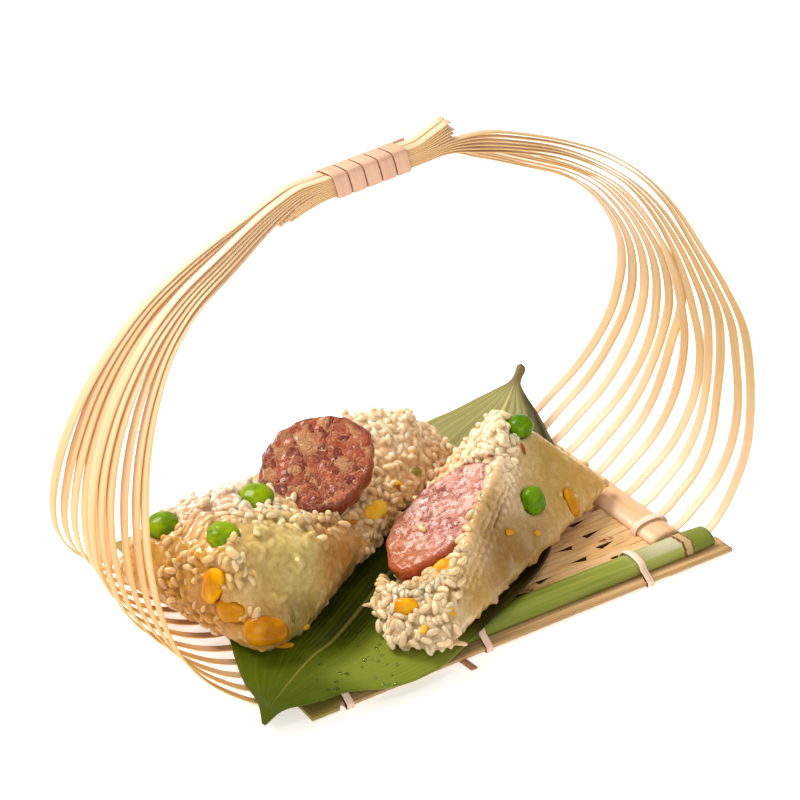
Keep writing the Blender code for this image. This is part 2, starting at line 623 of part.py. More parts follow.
def build_rice(name, groups, wanted, tries, apart, pockets, random):
    body = hull(name, groups[0], PARTS)
    for i, balls in enumerate(groups[1:]):
        cut(body, hull(f"{name}_core_{i}", balls, CUTTERS), "UNION")
    grains = bpy.data.collections.new(name + "_grains")
    CUTTERS.children.link(grains)
    for i, (p, n) in enumerate(seeds_on(body, tries, apart, wanted, random)):
        grain_on(f"{name}_grain_{i}", p, n, grains, random)
    boolean(body, grains, "UNION", "MANIFOLD")
    for tool in pockets + [leaf_block(name + "_seat")]:
        cut(body, tool)
    largest_only(body)
    body.data.materials.clear()
    body.data.materials.append(material(name, (0.78, 0.7, 0.5), 0.35))


def build_food():
    random = np.random.default_rng(23)
    pockets = {"left": [], "right": []}
    for side, data, seed in (("left", SAUSAGE_LEFT, 3), ("right", SAUSAGE_RIGHT, 8)):
        piece = disc("sausage_" + side, *data, PARTS, seed=seed)
        piece.data.materials.append(material("sausage_" + side, (0.62, 0.22, 0.16), 0.35))
        pockets[side].append(disc("pocket", *data, CUTTERS, grow=GAP, seed=seed))
    pockets["right"].append(tear(SAUSAGE_RIGHT))
    for i, (at, radius, side) in enumerate(PEAS):
        piece = hull(f"pea_{i + 1}", ((*at, radius),), PARTS)
        piece.data.materials.append(material(piece.name, (0.1, 0.38, 0.02), 0.3))
        pockets[side].append(hull("pocket", ((*at, radius),), CUTTERS, grow=GAP))
    for i, (*data, side) in enumerate(KERNELS):
        piece = kernel(f"corn_{i + 1}", *data, PARTS)
        piece.data.materials.append(material(piece.name, (0.85, 0.45, 0.02), 0.3))
        pockets[side].append(kernel("pocket", *data, CUTTERS, grow=GAP))
    build_rice("rice_left", LEFT_CORE, torn_left, 1500, 8.2, pockets["left"], random)
    build_rice("rice_right", RIGHT_CORE, torn_right, 1500, 7.2, pockets["right"], random)


def boolean(obj, tools, operation, solver):
    """Joins a collection of tools to a mesh, or cuts it with them, and removes them."""
    step = obj.modifiers.new(operation.lower(), "BOOLEAN")
    step.operation, step.solver, step.operand_type, step.collection = operation, solver, "COLLECTION", tools
    bpy.context.view_layer.update()
    made = bpy.data.meshes.new_from_object(obj.evaluated_get(bpy.context.evaluated_depsgraph_get()))
    obj.modifiers.clear()
    obj.data = made
    for tool in list(tools.objects):
        bpy.data.objects.remove(tool)
    bpy.data.collections.remove(tools)


def cut(obj, tool, operation="DIFFERENCE"):
    """One tool at a time, where those of a set lie over each other."""
    alone = bpy.data.collections.new("tool")
    CUTTERS.children.link(alone)
    alone.objects.link(tool)
    boolean(obj, alone, operation, "MANIFOLD")


PARTS = None
CUTTERS = None


def main():
    global PARTS, CUTTERS
    for obj in list(bpy.data.objects):
        bpy.data.objects.remove(obj, do_unlink=True)
    PARTS = collection("zongzi_basket")
    CUTTERS = collection("cutters", cutters=True)
    build_handle()
    build_wrap()
    build_mat()
    build_rims()
    build_ties()
    build_leaf()
    build_food()
    for obj in PARTS.objects:
        obj.data.shade_smooth()
        obj.data.set_sharp_from_angle(angle=SMOOTH_UNDER)


main()
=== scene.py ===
# %% [markdown]
# Two torn zongzi, sticky-rice dumplings with corn, peas and sausage, lie on a bamboo leaf in a small basket.
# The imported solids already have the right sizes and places, so this lesson dresses each of them: it reads
# where a solid is, makes the real surface there, and gives every piece a finish made of shader nodes. Lengths
# are metres, so MM turns millimetres into them.

import bmesh
import bpy
import numpy as np
from mathutils import Matrix, Vector, noise
from mathutils.bvhtree import BVHTree


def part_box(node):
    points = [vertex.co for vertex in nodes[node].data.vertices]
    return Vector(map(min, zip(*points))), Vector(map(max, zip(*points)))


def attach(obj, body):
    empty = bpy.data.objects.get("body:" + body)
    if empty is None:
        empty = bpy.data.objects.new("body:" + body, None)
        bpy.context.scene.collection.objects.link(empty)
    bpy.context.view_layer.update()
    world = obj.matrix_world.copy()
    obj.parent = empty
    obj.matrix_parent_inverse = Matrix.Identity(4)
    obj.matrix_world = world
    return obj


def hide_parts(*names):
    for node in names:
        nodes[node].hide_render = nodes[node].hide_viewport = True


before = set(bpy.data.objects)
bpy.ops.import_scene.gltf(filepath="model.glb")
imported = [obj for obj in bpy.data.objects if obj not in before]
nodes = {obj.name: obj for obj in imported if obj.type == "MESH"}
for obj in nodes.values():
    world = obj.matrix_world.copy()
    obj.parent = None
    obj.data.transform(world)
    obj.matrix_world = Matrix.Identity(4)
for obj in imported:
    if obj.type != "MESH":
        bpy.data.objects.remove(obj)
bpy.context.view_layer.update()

MM = 0.001

# %% [markdown]
# The camera comes first, because small things are later placed by looking through it. It stands in front of
# the basket's left corner, about 65 cm away and 30 degrees up, with a long lens. Its three axes follow from
# those angles, which is surer than turning it by hand until the tray's edges line up.

# %% The camera
FRAME_PIXELS = 800
LENS_MM, SENSOR_MM = 100.89, 36.0
CAMERA_AT = Vector((-308.2, -441.8, 366.8)) * MM
CAMERA_TURN, CAMERA_RISE, CAMERA_ROLL = np.radians((-34.15, 30.2, 0.5))

back = Vector((np.sin(CAMERA_TURN) * np.cos(CAMERA_RISE), -np.cos(CAMERA_TURN) * np.cos(CAMERA_RISE),
               np.sin(CAMERA_RISE)))
level = Vector((np.cos(CAMERA_TURN), np.sin(CAMERA_TURN), 0))
rise = back.cross(level)
right = level * np.cos(CAMERA_ROLL) + rise * np.sin(CAMERA_ROLL)
above = rise * np.cos(CAMERA_ROLL) - level * np.sin(CAMERA_ROLL)

bpy.ops.object.camera_add()
camera = bpy.context.object
camera.data.lens = LENS_MM
camera.data.sensor_width = SENSOR_MM
camera.matrix_world = Matrix.Translation(CAMERA_AT) @ Matrix((right, above, back)).transposed().to_4x4()
bpy.context.scene.camera = camera
print("camera at", [round(c, 3) for c in CAMERA_AT])

# %% [markdown]
# The light is that of a bright table by a window: a white room, which the world stands for, one large soft
# lamp behind and above the basket on its left, a weaker one in front, and a small one high in front, whose
# reflection makes the sparks on wet rice. The floor is plain, nearly white and gives off a little light
# itself. A standard view keeps its white clean, where a film-like view would grey it.

# %% Floor and light
def lamp(name, at, aim, size, watts, tint):
    bpy.ops.object.light_add(type="AREA", location=at)
    made = bpy.context.object
    made.name = name
    made.data.size = size
    made.data.energy = watts
    made.data.color = tint
    made.rotation_euler = (Vector(aim) - Vector(at)).to_track_quat("-Z", "Y").to_euler()


lamp("window", (-0.32, 0.52, 0.78), (0, 0, 0.03), 0.42, 11.2, (1.0, 0.96, 0.9))
lamp("room", (-0.75, -0.9, 0.75), (0, 0, 0.05), 0.7, 4.0, (1.0, 0.96, 0.9))
lamp("spark", (-0.36, -0.3, 0.92), (0, 0, 0.03), 0.08, 0.9, (1.0, 0.98, 0.95))

world = bpy.data.worlds.new("white_room")
world.use_nodes = True
world.node_tree.nodes["Background"].inputs["Color"].default_value = (1.0, 0.985, 0.965, 1)
world.node_tree.nodes["Background"].inputs["Strength"].default_value = 0.5
bpy.context.scene.world = world
bpy.context.scene.view_settings.view_transform = "Standard"

bpy.ops.mesh.primitive_plane_add(size=8)
floor = bpy.context.object
floor.name = "floor"
print("three lamps, a white room and a floor")

# %% [markdown]
# Every finish below is a Principled shader with a few texture nodes in front of it. Adding and joining nodes
# takes several lines each time, so a small class does it: most methods add a node or two and give back their
# output, and over lays one more colour on the colours before it. Colours are written as a screen shows them,
# from 0 to 255. Textures read Object coordinates, since every finished piece sits at the origin, or a map
# that the piece carries.

# %% A short way to build finishes
def linear(red, green, blue):
    """A colour as a screen shows it, 0 to 255, as the linear values that a shader takes."""
    share = np.array((red, green, blue)) / 255
    return (*np.where(share > 0.04045, ((share + 0.055) / 1.055) ** 2.4, share / 12.92), 1.0)


class Finish:
    """A material with a Principled shader, and methods for the nodes put in front of it."""

    def __init__(self, name, rough, colour=None, **sockets):
        self.material = bpy.data.materials.new(name)
        self.material.use_nodes = True
        self.shader = self.material.node_tree.nodes["Principled BSDF"]
        for socket, value in {"Roughness": rough, "Specular IOR Level": 0.25, **sockets}.items():
            self.feed(self.shader.inputs[socket.replace("_", " ")], value)
        if colour:
            self.colour(colour)

    def add(self, kind, inputs=(), **settings):
        node = self.material.node_tree.nodes.new(kind)
        for name, value in settings.items():
            setattr(node, name, value)
        for socket, value in dict(inputs).items():
            self.feed(node.inputs[socket], value)
        return node

    def feed(self, socket, value):
        """Links another node's output to a socket, or sets the socket; colours are turned linear here."""
        if isinstance(value, bpy.types.NodeSocket):
            self.material.node_tree.links.new(value, socket)
        else:
            socket.default_value = linear(*value) if socket.type == "RGBA" else value

    def mapping(self, where, **sockets):
        return self.add("ShaderNodeMapping", {"Vector": where, **sockets}).outputs[0]

    def place(self, stretch=(1, 1, 1), mapped=False):
        """Object coordinates, or the map that a rolled piece carries, stretched."""
        if mapped:
            return self.mapping(self.add("ShaderNodeUVMap", uv_map="UVMap").outputs["UV"], Scale=stretch)
        return self.mapping(self.add("ShaderNodeTexCoord").outputs["Object"], Scale=stretch)

    def axes(self, where=None):
        """X, Y and Z of a vector, or of the piece's own place."""
        return self.add("ShaderNodeSeparateXYZ", {"Vector": self.place() if where is None else where}).outputs

    def read(self, name, output="Fac"):
        """A value or colour that the piece's points carry."""
        return self.add("ShaderNodeAttribute", attribute_name=name).outputs[output]

    def noise(self, where, scale, detail=3.0, rough=0.5, warp=0.0, output=0):
        return self.add("ShaderNodeTexNoise", {"Vector": where, "Scale": scale, "Detail": detail,
                                               "Roughness": rough, "Distortion": warp}).outputs[output]

    def streaks(self, stretch, detail=3.0, rough=0.6, mapped=False):
        """Noise drawn out along the way that stretch leaves longest."""
        return self.noise(self.place(stretch, mapped), 1.0, detail, rough)

    def cells(self, where, scale, output="Distance", feature="F1"):
        made = self.add("ShaderNodeTexVoronoi", {"Vector": where, "Scale": scale}, feature=feature)
        return made.outputs[output]

    def edges(self, where, scale):
        """How far a point is from the nearest edge between cells."""
        return self.cells(where, scale, feature="DISTANCE_TO_EDGE")

    def warped(self, where, scale, detail, share):
        """A place mixed with a little coloured noise, which bends what is drawn there."""
        return self.mix(share, where, self.noise(where, scale, detail, output="Color"))

    def band(self, value, low, high, start=0.0, end=1.0):
        """Start below low, end above high, and a smooth step between them."""
        ends = {"Value": value, "From Min": low, "From Max": high, "To Min": start, "To Max": end}
        return self.add("ShaderNodeMapRange", ends, interpolation_type="SMOOTHSTEP").outputs[0]

    def math(self, operation, a, b=0.0):
        return self.add("ShaderNodeMath", {0: a, 1: b}, operation=operation).outputs[0]

    def both(self, a, b):
        """Two shares multiplied."""
        return self.math("MULTIPLY", a, b)

    def sway(self, value, much):
        """Noise as a shift to either side, by up to half of much."""
        return self.both(self.math("SUBTRACT", value, 0.5), much)

    def mix(self, share, a, b, blend="MIX"):
        made = self.add("ShaderNodeMix", {0: share, 6: a, 7: b}, data_type="RGBA", blend_type=blend)
        return made.outputs[2]

    def colour(self, value):
        self.so_far = value
        self.feed(self.shader.inputs["Base Color"], value)

    def over(self, share, colour, blend="MIX"):
        """Lays a colour over the finish's colour so far, as much as share says."""
        self.colour(self.mix(share, self.so_far, colour, blend))

    def bump(self, height, distance, strength=1.0):
        """Adds relief in mm, on top of any that the finish has."""
        made = self.add("ShaderNodeBump", {"Height": height, "Distance": distance * MM, "Strength": strength})
        if self.shader.inputs["Normal"].links:
            self.feed(made.inputs["Normal"], self.shader.inputs["Normal"].links[0].from_socket)
        self.feed(self.shader.inputs["Normal"], made.outputs[0])


def fibrous(name, rough, stretch, deep, pale, coat=0.0, span=(0.3, 0.7), detail=3, relief=(0.2, 0.4),
            **sockets):
    """A finish with fine straight fibres from a deep colour to a pale one."""
    made = Finish(name, rough, deep, Coat_Weight=coat, **sockets)
    fibre = made.streaks(stretch, detail)
    made.over(made.band(fibre, *span), pale)
    if relief:
        made.bump(fibre, *relief)
    return made


def moist(name, rough, soft, depth, radius, coat, coat_rough, shine, colour=None):
    """A finish for wet food: light enters it, to some depth in mm, under a thin clear coat."""
    return Finish(name, rough, colour, Subsurface_Weight=soft, Subsurface_Scale=depth * MM,
                  Subsurface_Radius=radius, Coat_Weight=coat, Coat_Roughness=coat_rough, Specular_IOR_Level=shine)


white = Finish("pale_floor", 0.7, (246, 245, 243), Emission_Color=(255, 252, 249), Emission_Strength=0.5)
floor.data.materials.append(white.material)
print("finishes can be built")

# %% [markdown]
# A handle strip is split bamboo: 4 mm wide, half a millimetre thick and nearly half a metre long, bent into a
# hoop. A curve with a bevel would twist where the hoop climbs steeply. So each strip is skinned instead: the
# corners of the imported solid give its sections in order, a smooth line is drawn through them, and a rounded
# section is set across that line about every two millimetres. The same steps serve the band that is wound
# round the bundle.

# %% Read the sections of a packed band
MERGE = 0.005 * MM
STRIP_ACROSS, WRAP_ACROSS = Vector((0, 1, 0)), Vector((0.94, 0, 0.34))


def welded(name):
    """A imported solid's mesh with its loose triangles merged, to be read or copied."""
    bm = bmesh.new()
    bm.from_mesh(nodes[name].data)
    bmesh.ops.remove_doubles(bm, verts=bm.verts, dist=MERGE)
    bm.normal_update()
    return bm


def sections_of(name, across):
    """A band's sections from one end to the other: middle, half width and half thickness, as (sections, 9).

    The band's two narrow sides face along across. The border round each side is two rails and the two short
    edges at the band's ends, so cutting the border at its two shortest edges gives the rails."""
    bm = welded(name)
    narrow = {f for f in bm.faces if abs(f.normal.dot(across)) > 0.5}
    border = {v: [e.other_vert(v) for e in v.link_edges if len({f in narrow for f in e.link_faces}) == 2]
              for v in bm.verts}
    left, sides = list(bm.verts), []
    while left:
        loop = [left.pop(0)]
        while step := [v for v in border[loop[-1]] if v in left]:
            loop.append(step[0])
            left.remove(step[0])
        p = np.array([v.co for v in loop])
        ends = np.sort(np.argsort(np.linalg.norm(np.roll(p, -1, axis=0) - p, axis=1))[:2]) + 1
        sides.append([p[ends[0]:ends[1]], np.concatenate([p[ends[1]:], p[:ends[0]]])[::-1]])
    bm.free()
    (a, b), (c, d) = sides
    if np.linalg.norm(a[0] - c[0]) > np.linalg.norm(a[0] - c[-1]):
        c, d = c[::-1], d[::-1]
    if np.linalg.norm(a[0] - c[0]) > np.linalg.norm(a[0] - d[0]):
        c, d = d, c
    return np.hstack([(a + b + c + d) / 4, (c + d - a - b) / 4, (b + d - a - c) / 4])


def through(at, places, values):
    """A smooth curve through values at places (a cubic with the values' own slopes), read at each of at."""
    slope = np.gradient(values, places, axis=0)
    i = np.clip(np.searchsorted(places, at, side="right") - 1, 0, len(places) - 2)
    step = places[i + 1] - places[i]
    t = ((at - places[i]) / step).reshape(-1, *[1] * (values.ndim - 1))
    step = step.reshape(t.shape)
    return ((1 + 2 * t) * (1 - t) ** 2 * values[i] + t * (1 - t) ** 2 * step * slope[i]
            + t * t * (3 - 2 * t) * values[i + 1] + t * t * (t - 1) * step * slope[i + 1])


LONG_SPAN, SPAN_STEP = 25 * MM, 5 * MM


def smooth_line(sections, step):
    """Sections about every step along a smooth line through the given ones. Long straight spans are cut up
    first, so that the curves beside them don't bow them."""
    rows = [sections[0]]
    for a, b in zip(sections, sections[1:]):
        span = np.linalg.norm((b - a)[:3])
        if span > LONG_SPAN:
            rows += [a + (b - a) * t for t in np.linspace(0, 1, round(span / SPAN_STEP) + 1)[1:-1]]
        rows.append(b)
    rows = np.array(rows)
    run = np.r_[0, np.cumsum(np.linalg.norm(np.diff(rows[:, :3], axis=0), axis=1))]
    return through(np.linspace(0, run[-1], round(run[-1] / step) + 1), run, rows)


for name, across in (("strip_01", STRIP_ACROSS), ("strip_12", STRIP_ACROSS), ("wrap", WRAP_ACROSS)):
    print(name, "has", len(sections_of(name, across)), "sections")

# %% [markdown]
# Rolling is done with the grid from the Add menu. Its rows are laid on the sections, its two long edges meet
# and are merged, and the ends are filled. The grid brings a map with it, which is rewritten to say how far
# along a point is, in metres, and how far round, from 0 to 1; the fibres of the bamboo are drawn along that
# map.

# %% Roll a grid through sections
def choose(obj):
    bpy.ops.object.select_all(action="DESELECT")
    obj.select_set(True)
    bpy.context.view_layer.objects.active = obj


def edit(obj, *steps):
    """Runs edit-mode operators on the whole of one object."""
    choose(obj)
    bpy.ops.object.mode_set(mode="EDIT")
    bpy.ops.mesh.select_all(action="SELECT")
    for step in steps:
        step()
    bpy.ops.object.mode_set(mode="OBJECT")


def outward():
    bpy.ops.mesh.select_all(action="SELECT")
    bpy.ops.mesh.normals_make_consistent(inside=False)


def modifier(obj, kind, **settings):
    """Adds a modifier and applies it."""
    choose(obj)
    made = obj.modifiers.new(kind.lower(), kind)
    for name, value in settings.items():
        setattr(made, name, value)
    bpy.ops.object.modifier_apply(modifier=made.name)


def finished(obj, name, body_slot, finish, *stands_for):
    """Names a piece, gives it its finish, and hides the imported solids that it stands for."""
    obj.name = obj.data.name = name
    obj.data.materials.clear()
    obj.data.materials.append(finish.material)
    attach(obj, "root")
    if stands_for:
        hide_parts(*stands_for)
    return obj


def rolled(sections, start=0.0, closed=True):
    """A grid through sections (n, k, 3); start is added to the map's across value, so that no two bands
    match."""
    n = len(sections)
    rows = np.concatenate([sections, sections[:, :1]], axis=1) if closed else sections
    wide = rows.shape[1]
    bpy.ops.mesh.primitive_grid_add(x_subdivisions=wide - 1, y_subdivisions=n - 1, size=1)
    obj = bpy.context.object
    obj.data.vertices.foreach_set("co", rows.reshape(-1))
    run = np.r_[0, np.cumsum(np.linalg.norm(np.diff(sections.mean(1), axis=0), axis=1))]
    index = np.empty(len(obj.data.loops), int)
    obj.data.loops.foreach_get("vertex_index", index)
    across = start + (index % wide) / (wide - 1)
    obj.data.uv_layers[0].data.foreach_set("uv", np.stack([run[index // wide], across], 1).reshape(-1))
    if closed:
        edit(obj, lambda: bpy.ops.mesh.remove_doubles(threshold=MERGE),
             lambda: bpy.ops.mesh.fill_holes(sides=0), outward)
    bpy.ops.object.shade_smooth()
    return obj


ROUNDED = (  # a section's corners, as shares of half the width and half the thickness
    (-0.86, -1), (-0.4, -1.06), (0.4, -1.06), (0.86, -1), (1, -0.4), (1, 0.4),
    (0.86, 1), (0.4, 1.06), (-0.4, 1.06), (-0.86, 1), (-1, 0.4), (-1, -0.4))
LOWEST_MIDDLE = 0.25 * MM  # a strip's middle where it lies on the floor
FOOT_TOP = 60 * MM  # below this a strip narrows towards its foot
WOBBLE_TURN = 60  # how fast a strip's width wavers, in radians for each metre


def banded(name, across, step, start=0.0, wobble=0.0, foot=1.0):
    """Skins a packed band: a smooth line through its sections, with a rounded section across it. Foot is how
    wide it still is at the floor, as a share."""
    line = smooth_line(sections_of(name, across), step)
    middle, wide, thick = line[:, :3], line[:, 3:6], line[:, 6:]
    middle[:, 2] = np.maximum(middle[:, 2], LOWEST_MIDDLE)
    t = np.arange(len(line)) * step * WOBBLE_TURN
    swell = 1 + wobble * (np.sin(t + 9 * start) + np.sin(2.3 * t + 5 * start))[:, None]
    swell *= foot + (1 - foot) * np.clip(middle[:, 2:] / FOOT_TOP, 0, 1)
    rings = np.stack([middle + a * wide * swell + b * thick for a, b in ROUNDED], axis=1)
    return rolled(rings, start)


print("bands can be rolled")

# %% [markdown]
# Split bamboo shows its fibres as fine straight streaks along the strip, with a slight gloss where the skin
# is. Its colour is pale straw, with painted shade making it more ochre low on the left, where less light falls,
# and a slight warm darkening high on the right. Its cut sides are a deeper golden, partly their own colour and
# partly painted warm bounce light in their shade. The map's across value starts elsewhere on each strip, so no
# two have the same streaks.

# %% The handle's strips and their binding
STRIP_STEP, WRAP_STEP = 2.2 * MM, 0.8 * MM
# The first multiplies in painted shade low on the left; the second is a slight warm darkening high on the right.
OCHRE_SHADE, GOLDEN = (244, 214, 160), (238, 230, 200)  # multiply the colour low on the left, and on the right
# The cut sides' colour is partly their own golden and partly painted warm bounce light in their shade.
CUT_SIDE_AND_BOUNCE, NARROW_SIDE = (250, 198, 112), 0.75  # the cut sides' colour, and where they lie in each half turn


def bamboo(name, pale, deep, streak=0.5, rough=0.42):
    """Straight fibres along the carried map, from a pale colour to a deep one."""
    made = Finish(name, rough, pale, Coat_Weight=0.06)
    slow, fine = made.streaks((14, 0.9, 1), 2, 0.5, True), made.streaks((40, 26, 1), 4, 0.6, True)
    share = made.math("ADD", made.band(slow, 0.3, 0.7, 0, 1 - streak), made.band(fine, 0.35, 0.7, 0, streak))
    made.over(share, deep)
    made.bump(fine, 0.12, 0.5)
    return made


split = bamboo("split_bamboo", (240, 213, 186), (214, 176, 132), 0.45)
x_of, _, z_of = split.axes()
# Painted shade: deeper ochre low on the left, where less light falls.
split.over(split.both(split.band(x_of, -0.06, -0.09), split.band(z_of, 0.12, 0.02, 0.2, 1)), OCHRE_SHADE, "MULTIPLY")
split.over(split.both(split.band(x_of, 0.0, 0.05), split.band(z_of, 0.0, 0.05)), GOLDEN, "MULTIPLY")
# The cut sides: their own golden colour and painted bounce light where they stand in shade.
half_turns = split.axes(split.place((1, 2, 1), True))["Y"]
from_side = split.math("ABSOLUTE", split.math("SUBTRACT", split.math("FRACT", half_turns), NARROW_SIDE))
split.over(split.band(from_side, 0.13, 0.07, 0, 0.8), CUT_SIDE_AND_BOUNCE)
for k in range(1, 13):
    name = f"strip_{k:02d}"
    strip = finished(banded(name, STRIP_ACROSS, STRIP_STEP, start=k, wobble=0.012, foot=0.66), f"handle_{name}",
                     "split_bamboo", split, name)
finished(banded("wrap", WRAP_ACROSS, WRAP_STEP, 3.3), "handle_binding", "binding",
         bamboo("binding", (226, 181, 152), (208, 163, 134), 0.4, 0.35), "wrap")
print("twelve strips, the last of", len(strip.data.polygons), "faces, and the binding")

# %% [markdown]
# The rims are canes split in half and laid round side up on the mat. The front and back ones are still green,
# with a brown fibrous ring near the right end and, on the front one, a greener tip past it. The two across
# the tray are dried and tan. Each is a half-round section carried along its length, swelling where the ring
# is.

# %% The rims
RIM_BASE, CUT_END = 2.3, 0.12  # their flat side's height in mm, and how far an end draws in
FRONT_RIM, BACK_RIM, SIDE_RIM = (-43.5, -34.5), (42.5, 51.0), (57.5, 68.3)
RING_AT = 63.4


def cane(across, height, start, end, along_x, size=lambda run: 1.0, step=2.0):
    """A half-round cane along X or Y, flat side down; size gives how much it swells at places along it."""
    turn = np.linspace(0, np.pi, 15)
    run = np.linspace(start, end, round((end - start) / step) + 1)[:, None]
    aside = sum(across) / 2 + (across[1] - across[0]) / 2 * np.cos(turn) * size(run)
    up = RIM_BASE + height * np.sin(turn) ** 0.8 * size(run)
    rings = np.stack(np.broadcast_arrays(*((run, aside) if along_x else (aside, run)), up), 2)
    first, last = (ring + (ring.mean(0) - ring) * CUT_END for ring in (rings[0], rings[-1]))
    return rolled(np.array([first, *rings, last]) * MM)


def knotted(x):
    """The green canes' size: a swelling where leaves grew from them, and a slightly smaller tip past it."""
    ring = 0.035 * np.exp(-((x - RING_AT) / 2.2) ** 2) + 0.02 * np.exp(-((x - RING_AT - 3.4) / 1.0) ** 2)
    return 1 + ring - 0.05 * np.clip((x - 68) / 5, 0, 1)


green = fibrous("green_cane", 0.36, (26, 900, 500), (112, 126, 32), (150, 156, 66), 0.06, (0.3, 0.72),
                relief=(0.2, 0.35), Specular_IOR_Level=0.18)
x_of, _, z_of = green.axes()
green.over(green.band(green.streaks((14, 160, 60), 2, 0.5), 0.35, 0.7, 0, 0.5), (176, 176, 100))
green.over(green.band(x_of, -0.03, 0.05, 0.75, 0), (96, 112, 8))
# A pale stripe along the crown of the cane, from 40 to 58 mm along it.
pale_crown = green.both(green.band(x_of, 0.04, 0.058), green.band(z_of, 0.0046, 0.0056))
green.over(green.both(pale_crown, 0.6), (212, 206, 186))
green.over(green.band(x_of, (RING_AT + 2) * MM, (RING_AT + 3) * MM), (116, 128, 46))
ragged = green.sway(green.streaks((60, 420, 420)), 0.0032)
for at, half, tone in ((RING_AT + 0.6, 1.9, (186, 164, 112)), (RING_AT - 0.9, 0.55, (112, 76, 40)),
                       (RING_AT + 2.2, 0.5, (126, 88, 48))):
    away = green.math("ABSOLUTE", green.math("ADD", green.math("SUBTRACT", x_of, at * MM), ragged))
    green.over(green.band(away, half * MM, half * 0.6 * MM), tone)

tan = fibrous("pale_cane", 0.4, (500, 26, 500), (206, 160, 108), (232, 194, 152), 0.08, (0.3, 0.72))
tan.over(tan.band(tan.streaks((60, 12, 60), 2, 0.5), 0.35, 0.7, 0, 0.6), (236, 202, 170))

finished(cane(FRONT_RIM, 3.4, -62.0, 73.5, True, knotted, 1.0), "front_cane", "green_cane", green, "rim_front")
finished(cane(BACK_RIM, 3.4, -70.0, 66.0, True, knotted, 1.0), "back_cane", "green_cane", green, "rim_back")
for name, side in (("left", (-SIDE_RIM[1], -SIDE_RIM[0])), ("right", SIDE_RIM)):
    made = cane(side, 2.9, FRONT_RIM[1] + 0.3, BACK_RIM[0] - 0.3, False)
    finished(made, f"{name}_cane", "pale_cane", tan, f"rim_{name}")
print("four canes")

# %% [markdown]
# The bottom is woven from narrow flat strands that run along the tray, each beside the next, over others that
# run across. Where a strand dives under a crossing one, its edge draws in and leaves a dark wedge-shaped
# slit. The slits step by one strand from column to column, which is what makes a twill. Each strand is a grid
# whose edges draw in at its slits and whose face rises and falls with the weave, given thickness with a
# Solidify modifier.

# %% The woven bottom
MAT_END, MAT_FRONT, MAT_BACK, MAT_LOW, MAT_HIGH = 66.0, -39.3, 46.7, 0.8, 2.0
ROW, COLUMN, STRAND = 6.8, 12.9, 2.267
SLIT_AT = (47.4, -11.6)
SLIT_HALF_LONG, SLIT_WIDE = 3.7, 1.9
STRAND_THICK = 0.42
CROSS_PITCH = 6.6
CROSS_SECTION = ((-3.2, 0.15), (3.2, 0.15), (3.2, 0.45), (-3.2, 0.45))  # across, and above MAT_LOW
# x, y, half width and half length in mm
STAINS = ((48.4, -23.9, 1.8, 3.2), (13.5, -32.4, 1.5, 2.6), (55.6, -9.0, 1.0, 4.5))


def joined(objects):
    choose(objects[0])
    for obj in objects:
        obj.select_set(True)
    bpy.ops.object.join()
    return bpy.context.object


def slit(x, y):
    """Width of the slit at the seam y and the place x: a wedge, its tall end left in one column and right in
    the next."""
    column = np.round((SLIT_AT[0] - x) / COLUMN)
    off = x - (SLIT_AT[0] - COLUMN * column)
    rows = (y - SLIT_AT[1] + STRAND * column) / ROW
    here = (abs(rows - np.round(rows)) < 0.1) & (abs(off) < SLIT_HALF_LONG)
    side = np.where(column % 2 == 0, -1, 1)
    share = (side * off / SLIT_HALF_LONG + 1) / 2
    return SLIT_WIDE * here * np.clip(share * 1.15, 0, 1) * np.clip((1 - share) * 14, 0, 1)


def strand(low, high, index):
    """One strand between two seams, its edges drawn in at its slits."""
    x = np.linspace(-MAT_END, MAT_END, 199)[:, None]
    low, high = low + 0.02 + slit(x, low) * 0.08, high - 0.02 - slit(x, high) * 0.92
    across = np.array([0, 0.12, 0.5, 0.88, 1.0])
    crown = np.array([-0.07, -0.01, 0.01, -0.01, -0.07])
    wave = 0.1 * np.cos((x - SLIT_AT[0]) * 2 * np.pi / COLUMN + index * 2 * np.pi / 3)
    points = np.stack(np.broadcast_arrays(x, low + (high - low) * across, MAT_HIGH - 0.1 + crown + wave), 2)
    made = rolled(points * MM, index * 0.37, closed=False)
    modifier(made, "SOLIDIFY", thickness=STRAND_THICK * MM, offset=-1)
    return made


woven = fibrous("woven_mat", 0.46, (30, 900, 300), (212, 168, 106), (232, 194, 142), 0.05, (0.25, 0.75), 4)
woven.over(woven.band(woven.streaks((22, 230, 80), 2, 0.5), 0.4, 0.7, 0, 0.6), (240, 208, 166))
woven.over(woven.band(woven.noise(woven.place(), 34, 2), 0.42, 0.7, 0, 0.35), (196, 148, 84))
x_of, y_of, _ = woven.axes()
speck = woven.band(woven.streaks((420, 900, 1), 3, 0.7), 0.45, 0.55)
for x, y, wide, long in STAINS:
    dx = woven.math("DIVIDE", woven.math("SUBTRACT", x_of, x * MM), long * MM)
    dy = woven.math("DIVIDE", woven.math("SUBTRACT", y_of, y * MM), wide * MM)
    off = woven.math("ADD", woven.both(dx, dx), woven.both(dy, dy))
    woven.over(woven.both(woven.band(off, 1, 0.2), speck), (120, 66, 20))

seams = SLIT_AT[1] + STRAND * np.arange(-12, 28)
seams = [MAT_FRONT, *seams[(seams > MAT_FRONT + 1) & (seams < MAT_BACK - 1)], MAT_BACK]
strands = [strand(low, high, i) for i, (low, high) in enumerate(zip(seams, seams[1:]))]
mat = finished(joined(strands), "woven_bottom", "woven_mat", woven, "mat")

crossing = []
for i, x in enumerate(np.arange(-MAT_END + 3.2, MAT_END - 2, CROSS_PITCH)):
    rows = [[(x + aside, y, MAT_LOW + up) for aside, up in CROSS_SECTION]
            for y in (MAT_FRONT + 0.4, 0, MAT_BACK - 0.4)]
    crossing.append(rolled(np.array(rows) * MM, i * 0.7))
